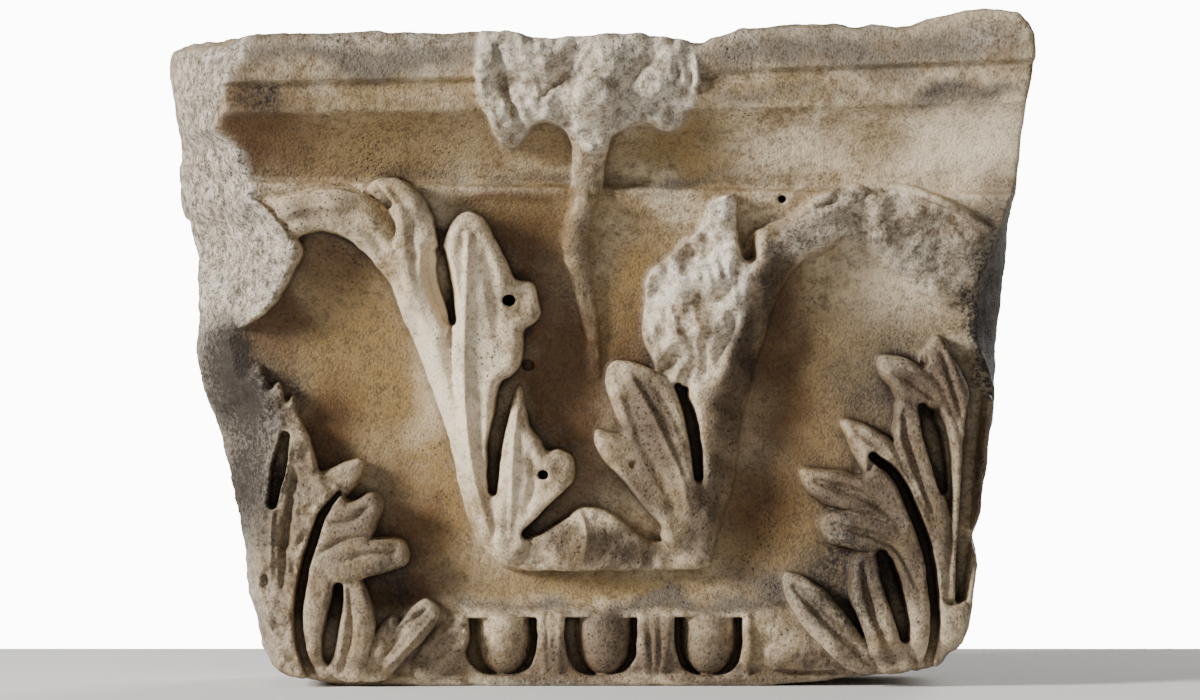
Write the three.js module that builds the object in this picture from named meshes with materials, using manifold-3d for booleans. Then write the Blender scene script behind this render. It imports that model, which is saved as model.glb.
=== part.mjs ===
// Pilaster capital: one block of carved marble, worn and broken as it was found.
// Millimetres, +Z up. The carved front looks along -Y and the flat back along +Y.
// The origin lies in the lower bed, under the middle egg and half way through the foot.
//
// Carving is described on the front as (x, z) with a rise towards the viewer, measured
// from the plain ground of the bell. Each lobe, rib, channel and slot is one sweep of a
// short section along a path of [x, z, half width, rise].

import * as THREE from 'three';
import { mergeVertices } from 'three/addons/utils/BufferGeometryUtils.js';
import Module from 'manifold-3d';

const wasm = await Module();
wasm.setup();

// Driving sizes
const footDepth = 100; // wall face to the plain ground at the foot of the bell
const halfSpan = 262; // middle egg to the end of the abacus
const cornerReach = 18; // how far the abacus corners stand forward of its middle
const eggPitch = 63;
const eggHalfWidth = 15;
const drillRadius = 3.7; // the running drill of the carver
const channelHalfWidth = 3.2;
const sunk = 9; // how deep each lobe is rooted in the ground
const clear = 95; // a cutter's length in front of the ground

// Moulding profile of the front, foot to top, as [height, projection]
const filletHeight = 6;
const eggBandTop = 42;
const lipHeight = 299;
const cavettoTop = 347;
const bandBase = 366;
const profile = [
  [0, 9],
  [filletHeight, 9],
  [filletHeight + 2, 6],
  [22, 11],
  [eggBandTop - 4, 13],
  [eggBandTop + 2, 12],
  [eggBandTop + 7, 5],
  [58, 1],
  [80, 0],
  [200, 1.5],
  [246, 6],
  [275, 14],
  [lipHeight - 8, 23],
  [lipHeight, 25],
  [lipHeight + 2, 21],
  [318, 25],
  [334, 33],
  [cavettoTop - 2, 43],
  [cavettoTop + 1, 47],
  [bandBase - 3, 47],
  [bandBase - 1, 44],
  [bandBase + 2, 51],
  [bandBase + 18, 51],
  [415, 48],
];

// The carver's long lines are not quite level: the lip drops and the band climbs to the right
const lineSlope = [[200, 0], [lipHeight, -0.018], [cavettoTop, 0.012], [bandBase, 0.03], [415, 0.03]];

// How much of the corners' reach is felt at each height
const cornerShare = [[0, 0], [60, 0.1], [150, 0.3], [250, 0.6], [lipHeight, 0.8], [415, 1]];

function lookUp(table, at) {
  const last = table.length - 1;
  if (at <= table[0][0]) return table[0][1];
  if (at >= table[last][0]) return table[last][1];
  const k = table.findIndex(([key]) => key > at) - 1;
  const [z0, a] = table[k];
  const [z1, b] = table[k + 1];
  return a + ((b - a) * (at - z0)) / (z1 - z0);
}

// Forward reach of the plan at x: the face is slightly hollow between its corners
function cornerSweep(x, z) {
  return cornerReach * lookUp(cornerShare, z) * Math.abs(x / halfSpan) ** 2.4;
}

// Projection of the uncarved face
function ground(x, z) {
  return lookUp(profile, z - x * lookUp(lineSlope, z)) + cornerSweep(x, z);
}

// From front coordinates to the part's own frame
function place(x, z, forward) {
  return new THREE.Vector3(x, -footDepth / 2 - forward, z);
}
const front = { level: ground, put: place };

// A fixed scatter between -1 and 1 for broken stone
function scatter(a, b) {
  const wave = Math.sin(a * 12.9898 + b * 78.233) * 43758.5453;
  return 2 * (wave - Math.floor(wave)) - 1;
}

// A closed three.js geometry as a solid that can be joined and cut
function toSolid(geometry) {
  const bare = new THREE.BufferGeometry();
  bare.setAttribute('position', geometry.getAttribute('position'));
  bare.setIndex(geometry.index);
  const welded = mergeVertices(bare, 1e-4);
  const corners = welded.getAttribute('position');
  const index = Array.from(welded.index.array);
  const [a, b, c] = [new THREE.Vector3(), new THREE.Vector3(), new THREE.Vector3()];
  let volume = 0;
  for (let i = 0; i < index.length; i += 3) {
    a.fromBufferAttribute(corners, index[i]);
    b.fromBufferAttribute(corners, index[i + 1]);
    c.fromBufferAttribute(corners, index[i + 2]);
    volume += a.dot(b.cross(c));
  }
  if (volume < 0) index.reverse();
  return new wasm.Manifold(new wasm.Mesh({
    numProp: 3,
    vertProperties: new Float32Array(corners.array),
    triVerts: new Uint32Array(index),
  }));
}

// Sections as [across, height]: height 0 is the root, 1 the crest
const sections = {
  round: [[0.9, 0], [1, 0.6], [0.5, 1], [-0.5, 1], [-1, 0.6], [-0.9, 0]],
  ridge: [[0.9, 0], [1, 0.5], [0, 1], [-1, 0.5], [-0.9, 0]],
  gutter: [[0.9, 0], [1, 0.8], [0.65, 1], [0, 0.74], [-0.65, 1], [-1, 0.8], [-0.9, 0]],
  slope: [[0.75, 0], [1, 0.1], [0.4, 0.85], [-0.5, 1], [-1, 0.7], [-0.9, 0]],
};
const slot = [[1, 1], [1, 0.04], [0.4, 0], [-0.4, 0], [-1, 0.04], [-1, 1]];

// Sweeps a section along a path on a face; depthOf(height, rise, spot, x, z) is its reach there
function sweep(path, section, steps, face, depthOf) {
  const middle = new THREE.CatmullRomCurve3(path.map(([x, z]) => new THREE.Vector3(x, 0, z)));
  const size = new THREE.CatmullRomCurve3(path.map((p) => new THREE.Vector3(p[2], p[3], 0)));
  const sides = section.length;
  const shell = new THREE.CylinderGeometry(1, 1, 1, sides, steps);
  const points = shell.getAttribute('position');
  for (let i = 0; i < points.count; i += 1) {
    const t = points.getY(i) + 0.5;
    const spot = middle.getPoint(t);
    const along = middle.getTangent(t);
    const [halfWidth, rise] = size.getPoint(t);
    const turn = Math.atan2(points.getX(i), points.getZ(i)) / (2 * Math.PI);
    const onAxis = Math.hypot(points.getX(i), points.getZ(i)) < 0.5;
    const [across, height] = onAxis ? [0, 0.5] : section[Math.round((turn + 1) * sides) % sides];
    const x = spot.x + along.z * across * halfWidth;
    const z = spot.z - along.x * across * halfWidth;
    const forward = depthOf(height, rise, spot, x, z);
    points.setXYZ(i, ...face.put(x, z, forward));
  }
  return toSolid(shell);
}

// A raised lobe or rib. Broken ones get an uneven top
function lobe({ path, section = 'round', steps = 7, rough = 0 }) {
  return sweep(path, sections[section], steps, front, (height, rise, spot, x, z) => {
    const base = ground(spot.x, spot.z);
    if (height === 0) return base - sunk;
    return base + rise * height + rough * scatter(Math.round(x), Math.round(z));
  });
}

// A channel, slot or notch, cut down to the given rise above the ground
function channel({ path, steps = 5, face = front }) {
  return sweep(path, slot, steps, face, (height, rise, spot) => {
    return face.level(spot.x, spot.z) + rise + (clear - rise) * height;
  });
}

// A drilled hole, as deep as the given rise above (or below) the ground
function drillHole([x, z, radius, floor]) {
  const bit = new THREE.CylinderGeometry(radius, radius, clear, 8);
  const base = ground(x, z) + floor + clear / 2;
  bit.translate(x, -footDepth / 2 - base, z);
  return toSolid(bit);
}

// Outline of the whole stone seen from the front, broken edges as they are
const leftEdge = [
  [-251, 388], [-262, 384], [-264, 370], [-260, 340], [-257, 321], [-260, 307], [-256, 287],
  [-250, 268], [-247, 240], [-247, 204], [-241, 173], [-229, 136], [-221, 98], [-217, 64],
  [-213, 40], [-209, 24], [-203, 11], [-190, 6], [-168, 1], [-151, 0],
];
const rightEdge = [
  [92, 0], [130, 3], [167, 7], [199, 11.5], [204, 19], [213, 25], [218, 34], [223, 72], [221, 91],
  [226, 110], [230, 145], [234, 185], [236, 220], [241, 262], [247, 296], [250, 334], [251, 353],
  [254.5, 368], [255, 381], [250, 398], [241, 405],
];
const topEdge = [
  [233, 407], [205, 404], [180, 398], [120, 398.5], [84, 395], [62, 390], [51, 386.7], [38, 390],
  [4, 392.5], [-36, 388.8], [-50, 391], [-62, 393.5], [-100, 392], [-146, 392.5], [-200, 391],
];

// The right return is carved on its own plane, as (y, z) with the reach along +X
const rightReturn = {
  level: (y, z) => lookUp(rightEdge.map(([x, height]) => [height, x]), z),
  put: (y, z, outward) => new THREE.Vector3(outward, y, z),
};

function outlinePrism() {
  const outline = [...leftEdge, ...rightEdge, ...topEdge].map(([x, z]) => new THREE.Vector2(x, z));
  const depth = footDepth + clear;
  const prism = new THREE.ExtrudeGeometry(new THREE.Shape(outline), { depth, bevelEnabled: false });
  prism.rotateX(Math.PI / 2);
  prism.translate(0, footDepth / 2, 0);
  return toSolid(prism);
}

// The uncarved block: a box whose front is pressed into the mouldings
function mouldedBlock() {
  const stations = 8;
  const levels = profile.length - 1;
  const block = new THREE.BoxGeometry(2, 2, 2, stations, 1, levels);
  const points = block.getAttribute('position');
  for (let i = 0; i < points.count; i += 1) {
    const x = points.getX(i) * (halfSpan + 8);
    const [height, projection] = profile[Math.round(((points.getZ(i) + 1) / 2) * levels)];
    const z = height + x * lookUp(lineSlope, height);
    const isFront = points.getY(i) < 0;
    const y = isFront ? -footDepth / 2 - projection - cornerSweep(x, height) : footDepth / 2;
    points.setXYZ(i, x, y, z);
  }
  return toSolid(block);
}

// Broken sides. Each row is [z, x where the face breaks off, x far outside, depth reached there]
const leftBreak = [
  [412, -203, -275, 22], [378, -212, -275, 30], [346, -231, -274, 30], [312, -212, -270, 40],
  [284, -206, -266, 46], [258, -197, -262, 40], [232, -214, -258, 30], [206, -229, -258, 26],
  [182, -216, -252, 32], [158, -196, -246, 34], [134, -205, -240, 20], [96, -216, -236, 16],
  [40, -208, -228, 15], [-6, -196, -214, 12],
];
const rightBreak = [
  [348, 247, 262, 4], [326, 243, 262, 12], [300, 238, 262, 24], [276, 229, 258, 34],
  [250, 219, 254, 34], [224, 217, 250, 30], [200, 220, 246, 20], [180, 230, 244, 6],
];

const breakFace = [[0, 8], [200, 8], [300, 34], [366, 58], [412, 58]];

function breakOff(rows, side) {
  const cut = new THREE.CylinderGeometry(1, 1, 1, 4, rows.length - 1);
  const points = cut.getAttribute('position');
  for (let i = 0; i < points.count; i += 1) {
    const row = Math.round((0.5 - points.getY(i)) * (rows.length - 1));
    const [z, edge, outside, drop] = rows[row];
    const turn = Math.atan2(points.getX(i), points.getZ(i)) / (2 * Math.PI);
    const corner = Math.round((turn + 1) * 4) % 4;
    const onAxis = Math.hypot(points.getX(i), points.getZ(i)) < 0.5;
    const face = lookUp(breakFace, z);
    const slope = (face + drop) / Math.abs(outside - edge);
    const halfWay = (edge + outside) / 2 + 4 * scatter(row, 3);
    const corners = [
      [edge - side * 40, face + 40 * slope],
      [outside, face + 60],
      [outside, -drop],
      [halfWay, (face - drop) / 2 + 5 * scatter(row, 1)],
    ];
    const inner = [(edge + 2 * outside) / 3, (face - drop) / 2 + 30];
    const [x, forward] = onAxis ? inner : corners[corner];
    points.setXYZ(i, ...place(x, z, forward));
  }
  return toSolid(cut);
}

// Egg and tongue band: a round-ended pocket is cut for each egg, and the egg stands in it
const eggs = [-1, 0, 1].map((step) => step * eggPitch - 1);
const eggOutline = [[0, 7], [0.5, 9], [0.82, 14], [0.97, 22], [1, 32], [0.96, 43], [0, 43]];
const pocketDepth = -11;

function eggSolid(x) {
  const outline = eggOutline.map(([r, z]) => new THREE.Vector2(r * eggHalfWidth, z));
  const egg = new THREE.LatheGeometry(outline, 12);
  egg.rotateX(Math.PI / 2);
  egg.translate(x, -footDepth / 2 - 1, 0);
  return toSolid(egg);
}

function carveEggs(block) {
  let carved = block;
  for (const x of eggs) {
    const pocket = [[x, 43, 19, pocketDepth], [x, 24, 21.5, pocketDepth], [x, 11, 17, pocketDepth],
      [x, 4, 8, pocketDepth + 6]];
    carved = carved.subtract(channel({ path: pocket, steps: 5 })).add(eggSolid(x));
  }
  return carved;
}

// Flower stump in the middle of the abacus and its stem down the bell
const flower = [
  { path: [[-76, 366, 22, 8], [-60, 362, 30, 15], [-20, 364, 28, 20], [20, 364, 28, 18], [50, 364, 22, 9]],
    rough: 2.5, steps: 7 },
  { path: [[-66, 350, 10, 14], [-62, 338, 9, 15], [-56, 328, 5, 13]], rough: 1.5, steps: 4 },
  { path: [[30, 350, 16, 14], [38, 338, 9, 8]], rough: 1.5, steps: 3 },
  { path: [[-8, 352, 16, 20], [-10, 332, 12, 20], [-12, 305, 9, 14], [-13, 290, 7, 12], [-18, 268, 6.5, 9],
      [-14, 238, 5, 6], [-8, 205, 3.5, 3]], rough: 1, steps: 7 },
];

// The two stems that spring from one root and turn outwards under the abacus corners
const leftStem = [
  { path: [[-204, 275, 15, 16], [-182, 285, 12.5, 19], [-162, 287, 12.5, 21], [-145, 279, 13, 23],
      [-131, 263, 14, 24], [-118, 240, 14, 25], [-104, 208, 15, 25], [-93, 180, 14, 25],
      [-84, 150, 11.5, 24], [-78, 120, 12, 23], [-69, 92, 13, 20], [-54, 78, 8, 14]], steps: 15 },
  { path: [[-136, 300, 4, 21], [-126, 295, 9, 24], [-117, 281, 13, 25], [-112, 262, 12, 25],
      [-103, 225, 9, 24]], steps: 6 },
  { path: [[-85, 284, 5, 22], [-82, 272, 12, 25], [-79, 255, 17.5, 26], [-75, 230, 20, 26],
      [-76, 186, 19, 25], [-80, 150, 13, 24], [-70, 105, 16, 22]], steps: 8 },
  { path: [[-66, 228, 12, 20], [-52, 231, 13, 18], [-44, 230, 9, 12]], rough: 1.5, steps: 3 },
  { path: [[-53, 182, 3, 19], [-57, 165, 6, 22], [-54, 150, 12, 24], [-53, 133, 14.5, 25],
      [-54, 106, 16, 24], [-57, 84, 12, 16]], steps: 7 },
  { path: [[-52, 112, 12, 22], [-38, 121, 12, 23], [-28, 130, 9, 22], [-23, 134, 4, 18]], steps: 4 },
];
const root = [
  { path: [[-10, 109, 3, 14], [-11, 96, 18, 18], [-12, 84, 30, 17], [-10, 70, 46, 12]],
    section: 'ridge', steps: 5 },
  { path: [[-60, 78, 7, 12], [-20, 77, 7, 11], [20, 77, 7, 11], [56, 79, 7, 12]], steps: 4 },
];
const rightStem = [
  { path: [[55, 78, 10, 13], [62, 100, 13, 18], [66, 130, 13, 21], [69, 160, 13.5, 22],
      [77, 195, 15, 23], [88, 226, 14, 23], [100, 250, 13, 22], [117, 270, 13, 20],
      [136, 282, 13, 17], [152, 286, 13, 10]], section: 'slope', steps: 12 },
  { path: [[6, 195, 4, 18], [14, 182, 13, 22], [23, 165, 17, 24], [29, 148, 20, 24],
      [36, 125, 21, 24], [44, 98, 15, 20], [50, 80, 11, 14]], steps: 8 },
  { path: [[14, 140, 10, 21], [2, 148, 6, 18], [-6, 154, 2.5, 14]], steps: 3 },
  { path: [[50, 184, 14, 20], [49, 213, 26, 23], [54, 240, 29, 23], [60, 260, 21, 22],
      [67, 277, 12, 19], [69, 292, 7, 14]], rough: 2.5, steps: 7 },
  { path: [[120, 286, 2, 8], [140, 297, 2, 8], [164, 302, 2, 8], [203, 291, 2, 8], [230, 275, 2, 7]],
    section: 'ridge', steps: 6 },
  { path: [[146, 281, 14, 8], [172, 282, 17, 6], [196, 273, 20, 6], [218, 258, 18, 5]],
    rough: 1.5, steps: 5 },
];

// Corner leaf on the left, its outer side and top broken; the first sweep is its body
const leftLeaf = [
  { path: [[-182, 8, 24, 8], [-188, 50, 33, 12], [-186, 95, 32, 14], [-197, 140, 24, 14],
      [-208, 182, 14, 10]], steps: 7 },
  { path: [[-151, 7, 5, 11], [-140, 24, 6, 13], [-131, 38, 5, 13], [-127, 42, 2, 11]], steps: 4 },
  { path: [[-147, 8, 6, 12], [-128, 27, 8, 15], [-113, 40, 6, 15], [-103, 47, 2, 12]], steps: 5 },
  { path: [[-152, 6, 9, 14], [-150, 28, 9, 20], [-149, 50, 8.5, 24], [-150, 64, 5, 24]],
    section: 'gutter', steps: 5 },
  { path: [[-170, 7, 5, 12], [-177, 25, 6.5, 18], [-179, 45, 7, 23], [-174, 66, 11, 26],
      [-158, 77, 12, 27], [-138, 79, 10.5, 27], [-123, 80, 6, 23]], steps: 8 },
  { path: [[-177, 62, 6, 24], [-170, 84, 10, 27], [-157, 98, 12, 28], [-145, 104, 11, 27],
      [-138, 108, 6, 24]], steps: 6 },
  { path: [[-176, 112, 8, 18], [-166, 124, 9, 19], [-156, 130, 8, 18], [-149, 132, 4, 15]], steps: 4 },
  { path: [[-190, 14, 7, 12], [-190, 60, 5.5, 22], [-187, 90, 6, 25], [-182, 115, 7, 25],
      [-182, 138, 8, 22], [-190, 160, 10, 18], [-200, 182, 8, 10]], rough: 1, steps: 8 },
  { path: [[-201, 14, 10, 12], [-206, 50, 11, 18], [-207, 90, 13, 22], [-210, 130, 15, 22],
      [-212, 160, 17, 18], [-214, 184, 14, 10]], rough: 1.5, steps: 6 },
];

// Corner leaf on the right: its body, then three tiers of lobes around drilled eyes
const rightLeaf = [
  { path: [[190, 9, 24, 8], [190, 50, 34, 13], [190, 95, 34, 16], [199, 140, 26, 18],
      [206, 185, 18, 18], [206, 206, 8, 14]], steps: 8 },
  { path: [[168, 8, 5, 12], [150, 31, 9, 17], [127, 54, 9, 20], [108, 65, 4, 19]],
    section: 'gutter', steps: 5 },
  { path: [[176, 8, 8, 14], [163, 40, 10, 22], [156, 64, 9.5, 25], [156, 83, 6, 24]],
    section: 'gutter', steps: 5 },
  { path: [[184, 10, 8, 14], [188, 35, 6.5, 23], [186, 62, 7, 26], [177, 83, 9, 28],
      [160, 93, 11, 28], [142, 95, 12, 25], [132, 95, 9, 19]], steps: 8 },
  { path: [[194, 55, 4, 24], [188, 82, 7, 27], [176, 103, 11, 29], [158, 117, 12, 29],
      [138, 122, 10, 28], [121, 128, 5, 24]], steps: 7 },
  { path: [[162, 122, 9, 27], [153, 138, 7, 28], [145, 155, 4, 24]], steps: 3 },
  { path: [[207, 22, 7, 16], [205, 50, 6, 22], [201, 78, 6, 25], [193, 102, 6.5, 27],
      [182, 124, 7, 29], [168, 144, 7, 30], [152, 155, 6, 28], [143, 159, 3, 24]], steps: 9 },
  { path: [[203, 90, 8, 24], [196, 118, 10, 27], [186, 142, 11, 30], [182, 165, 8, 31],
      [183, 182, 8, 29]], steps: 5 },
  { path: [[208, 26, 7, 16], [210, 70, 6, 22], [211, 110, 7, 26], [210, 145, 8, 29],
      [203, 170, 10, 31], [190, 184, 11, 31], [174, 192, 8, 29], [165, 198, 4, 25]], steps: 10 },
  { path: [[216, 160, 4, 27], [212, 182, 8, 29], [201, 199, 10, 29], [186, 205, 6, 24],
      [176, 205, 4, 18]], steps: 5 },
  { path: [[216, 24, 5, 14], [221, 80, 5, 16], [225, 130, 5, 18], [229, 175, 5, 16]],
    section: 'ridge', steps: 4 },
];

// Foot lumps left of the first egg and right of the last, where the band was left uncarved
const footLumps = [
  { path: [[-112, 12, 8, 7], [-98, 22, 12, 7], [-90, 33, 8, 5]], rough: 1, steps: 4 },
  { path: [[103, 18, 8, 6], [118, 18, 9, 7], [134, 18, 8, 5]], rough: 1, steps: 4 },
];

// Drilled channels between the lobes, slots through them, and their round holes
const w = channelHalfWidth;
const channels = [
  { path: [[-153, 305, 3, 2], [-146, 302, 4, 1], [-136, 294, 4, 1], [-131, 289, 2.5, 2]] },
  { path: [[-104, 262, 5, 12], [-101, 244, 6, 9], [-95, 222, 3, 12]] },
  { path: [[-100, 268, w, 0], [-97, 244, w, 0], [-93, 220, 1.5, 1]] },
  { path: [[-53, 186, 2.2, 0], [-61, 170, w, 0], [-67, 150, 4.2, 0], [-69, 120, w, 1]] },
  { path: [[-48, 86, 5, -1], [-38, 95, 6.5, -1], [-22, 110, 8, -1]] },
  { path: [[29, 90, 6, -1], [16, 101, 7, -1], [2, 118, 7.5, -1]] },
  { path: [[42, 181, 2, 1], [50, 164, w, 0], [53.5, 145, w, 0], [54.5, 126, 2.4, 1]] },
  { path: [[79, 292, 5, 6], [83, 274, 7, 3], [85, 256, w, 2]] },
  { path: [[-163, 119, 1.5, 6], [-174, 105, 2.3, 2], [-181, 84, 2.6, 0], [-186, 60, 2.6, 0],
      [-186, 36, 2.6, 0], [-178, 6, 2, 0]], steps: 9 },
  { path: [[-194, 149, 4, 2], [-198, 130, 4.5, 0], [-200, 111, 3.4, 2]] },
  { path: [[-189, 124, 3, 16], [-193, 98, 4.5, 12], [-196, 64, 3, 14]], steps: 3 },
  { path: [[-205, 68, 2.4, 4], [-205, 55, 2.4, 4]], steps: 1 },
  { path: [[-161, 62, 3, 0], [-165, 45, 4.4, -2], [-168, 18, 2.6, 0]] },
  { path: [[159, 140, 1.8, 2], [177, 124, 2.6, 0], [189, 103, 2.6, 0], [197, 76, 2.6, 0],
      [199, 45, 2.6, 0], [193, 10, 2, 0]], steps: 10 },
  { path: [[193, 169, 3.5, 2], [198, 148, 5.4, -1], [203, 118, 3.2, 1]] },
  { path: [[166, 80, 3.5, 0], [172, 58, 5.6, -2], [180, 30, 3.4, 0]] },
  { path: [[223, 186, 2.4, 2], [219, 140, 3, 0], [215, 90, 3.4, 0], [212, 53, 2.6, 2]], steps: 6 },
  { path: [[198, 216, 3, 6], [207, 206, 4.5, 3], [215, 195, 2.5, 6]], steps: 3 },
  { path: [[192, 199, 2, 14], [189, 192, 2.6, 12]], steps: 1 },
];
// On the right return the plain ground is cut back behind the other half of the corner leaf
const returnCarving = [
  { path: [[52, 50, 40, -8], [52, 78, 25, -9], [52, 98, 50, -9], [52, 128, 38, -9], [52, 150, 66, -9],
      [52, 178, 56, -9], [52, 206, 86, -9], [52, 292, 88, -9]], steps: 9 },
  { path: [[-20, 60, 3.5, -4], [-28, 120, 4, -4], [-44, 192, 3, -4]], steps: 3 },
  { path: [[4, 60, 3.5, -4], [-4, 95, 3.5, -4], [-16, 140, 2.4, -4]], steps: 3 },
].map((cut) => ({ ...cut, face: rightReturn }));
const holes = [
  [-58.8, 232.8, drillRadius, 0],
  [-48.5, 193.8, drillRadius, -5],
  [-38.4, 128, drillRadius * 0.9, 0],
  [16, 134, 2.6, 16],
  [105, 293, 2.6, -5],
];

// The carved stone
function capitalStone() {
  let stone = mouldedBlock();
  const raised = [leftStem, root, rightStem, leftLeaf, rightLeaf, flower, footLumps].flat();
  stone = carveEggs(stone);
  for (const part of raised) stone = stone.add(lobe(part));
  for (const part of [...channels, ...returnCarving]) stone = stone.subtract(channel(part));
  for (const hole of holes) stone = stone.subtract(drillHole(hole));
  stone = stone.subtract(breakOff(leftBreak, -1)).subtract(breakOff(rightBreak, 1));
  return stone.intersect(outlinePrism());
}

function toGeometry(solid) {
  const { numProp, vertProperties, triVerts } = solid.getMesh();
  const geometry = new THREE.BufferGeometry();
  const points = new THREE.InterleavedBuffer(vertProperties, numProp);
  geometry.setAttribute('position', new THREE.InterleavedBufferAttribute(points, 3, 0));
  geometry.setIndex(Array.from(triVerts));
  geometry.computeVertexNormals();
  return geometry;
}

const marble = new THREE.MeshStandardMaterial({ color: 0xb3a486, roughness: 0.75, metalness: 0 });
const capitalBlock = new THREE.Mesh(toGeometry(capitalStone()), marble);
capitalBlock.name = 'capital_block';

const capital = new THREE.Group();
capital.name = 'pilaster_capital';
capital.add(capitalBlock);

export default capital;
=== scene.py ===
import math

import bpy
import numpy as np
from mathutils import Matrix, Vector


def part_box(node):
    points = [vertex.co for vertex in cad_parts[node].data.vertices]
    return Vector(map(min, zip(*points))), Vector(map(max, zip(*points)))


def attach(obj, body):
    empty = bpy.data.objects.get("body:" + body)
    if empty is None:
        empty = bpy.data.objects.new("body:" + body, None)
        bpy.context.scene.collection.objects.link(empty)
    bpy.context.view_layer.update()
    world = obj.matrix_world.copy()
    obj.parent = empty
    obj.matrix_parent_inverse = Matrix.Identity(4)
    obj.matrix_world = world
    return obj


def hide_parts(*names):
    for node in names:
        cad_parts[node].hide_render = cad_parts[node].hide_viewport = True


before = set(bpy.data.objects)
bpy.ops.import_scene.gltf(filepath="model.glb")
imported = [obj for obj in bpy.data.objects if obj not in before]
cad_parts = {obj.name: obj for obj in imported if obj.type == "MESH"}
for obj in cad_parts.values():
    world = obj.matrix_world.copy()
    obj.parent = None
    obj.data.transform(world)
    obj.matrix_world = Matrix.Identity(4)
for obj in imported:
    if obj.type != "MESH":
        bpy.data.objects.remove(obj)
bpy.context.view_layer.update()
blockLow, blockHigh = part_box("capital_block")

# Lengths are in millimetres up to the finished mesh. x runs along the face, z up,
# and d is the height of a point in front of the plain ground of the bell.
mm = 0.001
wallFace = blockHigh.y / mm  # flat back of the stone
plainFace = -wallFace  # where d is 0
halfSpan = -blockLow.x / mm  # middle egg to the left end of the abacus
topOfStone = blockHigh.z / mm

sculptGrid = {
    "cell": 1.2,  # grid step over the carved front
    "behind": 17,  # depth of the fine layers behind the plain ground
    "backCell": 3.6,  # layers further back
    "margin": 9.6,  # empty space around the stone
    "pastBack": 12,  # empty space behind the flat back
}

cell = sculptGrid["cell"]
margin = sculptGrid["margin"]
backCell = sculptGrid["backCell"]
xs = np.arange(blockLow.x / mm - margin, blockHigh.x / mm + margin, cell).astype(np.float32)
zs = np.arange(-margin, topOfStone + margin, cell).astype(np.float32)
frontLayers = np.arange(blockLow.y / mm - margin, plainFace + sculptGrid["behind"], cell)
backLayers = np.arange(frontLayers[-1] + backCell, wallFace + sculptGrid["pastBack"], backCell)
ys = np.concatenate([frontLayers, backLayers]).astype(np.float32)
ds = plainFace - ys
gridX, gridZ = np.meshgrid(xs, zs, indexing="ij")
print("grid", len(xs), len(zs), len(ys))


# Small mathematics

def splineThrough(points, steps, closed=False):
    points = np.asarray(points, float)
    if closed:
        before, here = np.roll(points, 1, 0), points
        after, beyond = np.roll(points, -1, 0), np.roll(points, -2, 0)
    else:
        ends = np.vstack([2 * points[0] - points[1], points, 2 * points[-1] - points[-2]])
        before, here, after, beyond = ends[:-3], ends[1:-2], ends[2:-1], ends[3:]
    a, b, c, e = (part[:, None, :] for part in (before, here, after, beyond))
    t = (np.arange(steps) / steps)[None, :, None]
    curve = 2 * b + (c - a) * t + (2 * a - 5 * b + 4 * c - e) * t**2 + (3 * b - a - 3 * c + e) * t**3
    curve = (0.5 * curve).reshape(-1, points.shape[1])
    return curve if closed else np.vstack([curve, points[-1]])


def softMin(a, b, blend):
    share = np.clip(0.5 + 0.5 * (b - a) / blend, 0, 1)
    return b + (a - b) * share - blend * share * (1 - share)


def softMax(a, b, blend):
    return -softMin(-a, -b, blend)


def easeStep(low, high, value):
    t = np.clip((value - low) / (high - low), 0, 1)
    return t * t * (3 - 2 * t)


def readOff(rows, at):
    # The value at a place, from rows of [place, value]
    return np.interp(at, *np.transpose(rows))


def latticeNoise(u, v, size, seed):
    lattice = np.random.default_rng(seed).uniform(-1, 1, (64, 64)).astype(np.float32)
    u, v = u / size, v / size
    i, j = np.floor(u).astype(int), np.floor(v).astype(int)
    fu, fv = u - i, v - j
    fu, fv = fu * fu * (3 - 2 * fu), fv * fv * (3 - 2 * fv)
    near = lattice[i % 64, j % 64] * (1 - fu) + lattice[(i + 1) % 64, j % 64] * fu
    far = lattice[i % 64, (j + 1) % 64] * (1 - fu) + lattice[(i + 1) % 64, (j + 1) % 64] * fu
    return near * (1 - fv) + far * fv


def roughNoise(u, v, size, octaves, seed):
    total = 0
    for k in range(octaves):
        total = total + latticeNoise(u + 31.7 * k, v - 17.3 * k, size / 2**k, seed + k) * 0.56**k
    return total


def facets(u, v, spacing, tilt, seed):
    # Small tilted planes that meet in creases, as a crystalline break leaves them
    total = 0
    for k in range(3):
        size = spacing / 2.1**k
        turn = 0.6 + 0.9 * k
        lattice = np.random.default_rng(seed + k).uniform(-1, 1, (64, 64)).astype(np.float32)
        across = (u * math.cos(turn) + v * math.sin(turn)) / size
        along = (v * math.cos(turn) - u * math.sin(turn)) / size
        across = across + 0.5 * along
        i, j = np.floor(across).astype(int), np.floor(along).astype(int)
        fu, fv = across - i, along - j
        here, farCorner = lattice[i % 64, j % 64], lattice[(i + 1) % 64, (j + 1) % 64]
        right, above = lattice[(i + 1) % 64, j % 64], lattice[i % 64, (j + 1) % 64]
        lower = here + (right - here) * fu + (above - here) * fv
        upper = farCorner + (above - farCorner) * (1 - fu) + (right - farCorner) * (1 - fv)
        total = total + np.where(fu + fv < 1, lower, upper) * size * tilt * 0.8
    return total


def blur(values, radius):
    edge = int(3 * radius / cell) + 1
    padded = np.pad(values, edge, mode="edge")
    fu = np.fft.fftfreq(padded.shape[0], cell)[:, None]
    fv = np.fft.rfftfreq(padded.shape[1], cell)[None, :]
    soft = np.exp(-2 * (math.pi * radius) ** 2 * (fu**2 + fv**2))
    smooth = np.fft.irfft2(np.fft.rfft2(padded) * soft, padded.shape)
    return smooth[edge:-edge, edge:-edge].astype(np.float32)


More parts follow.
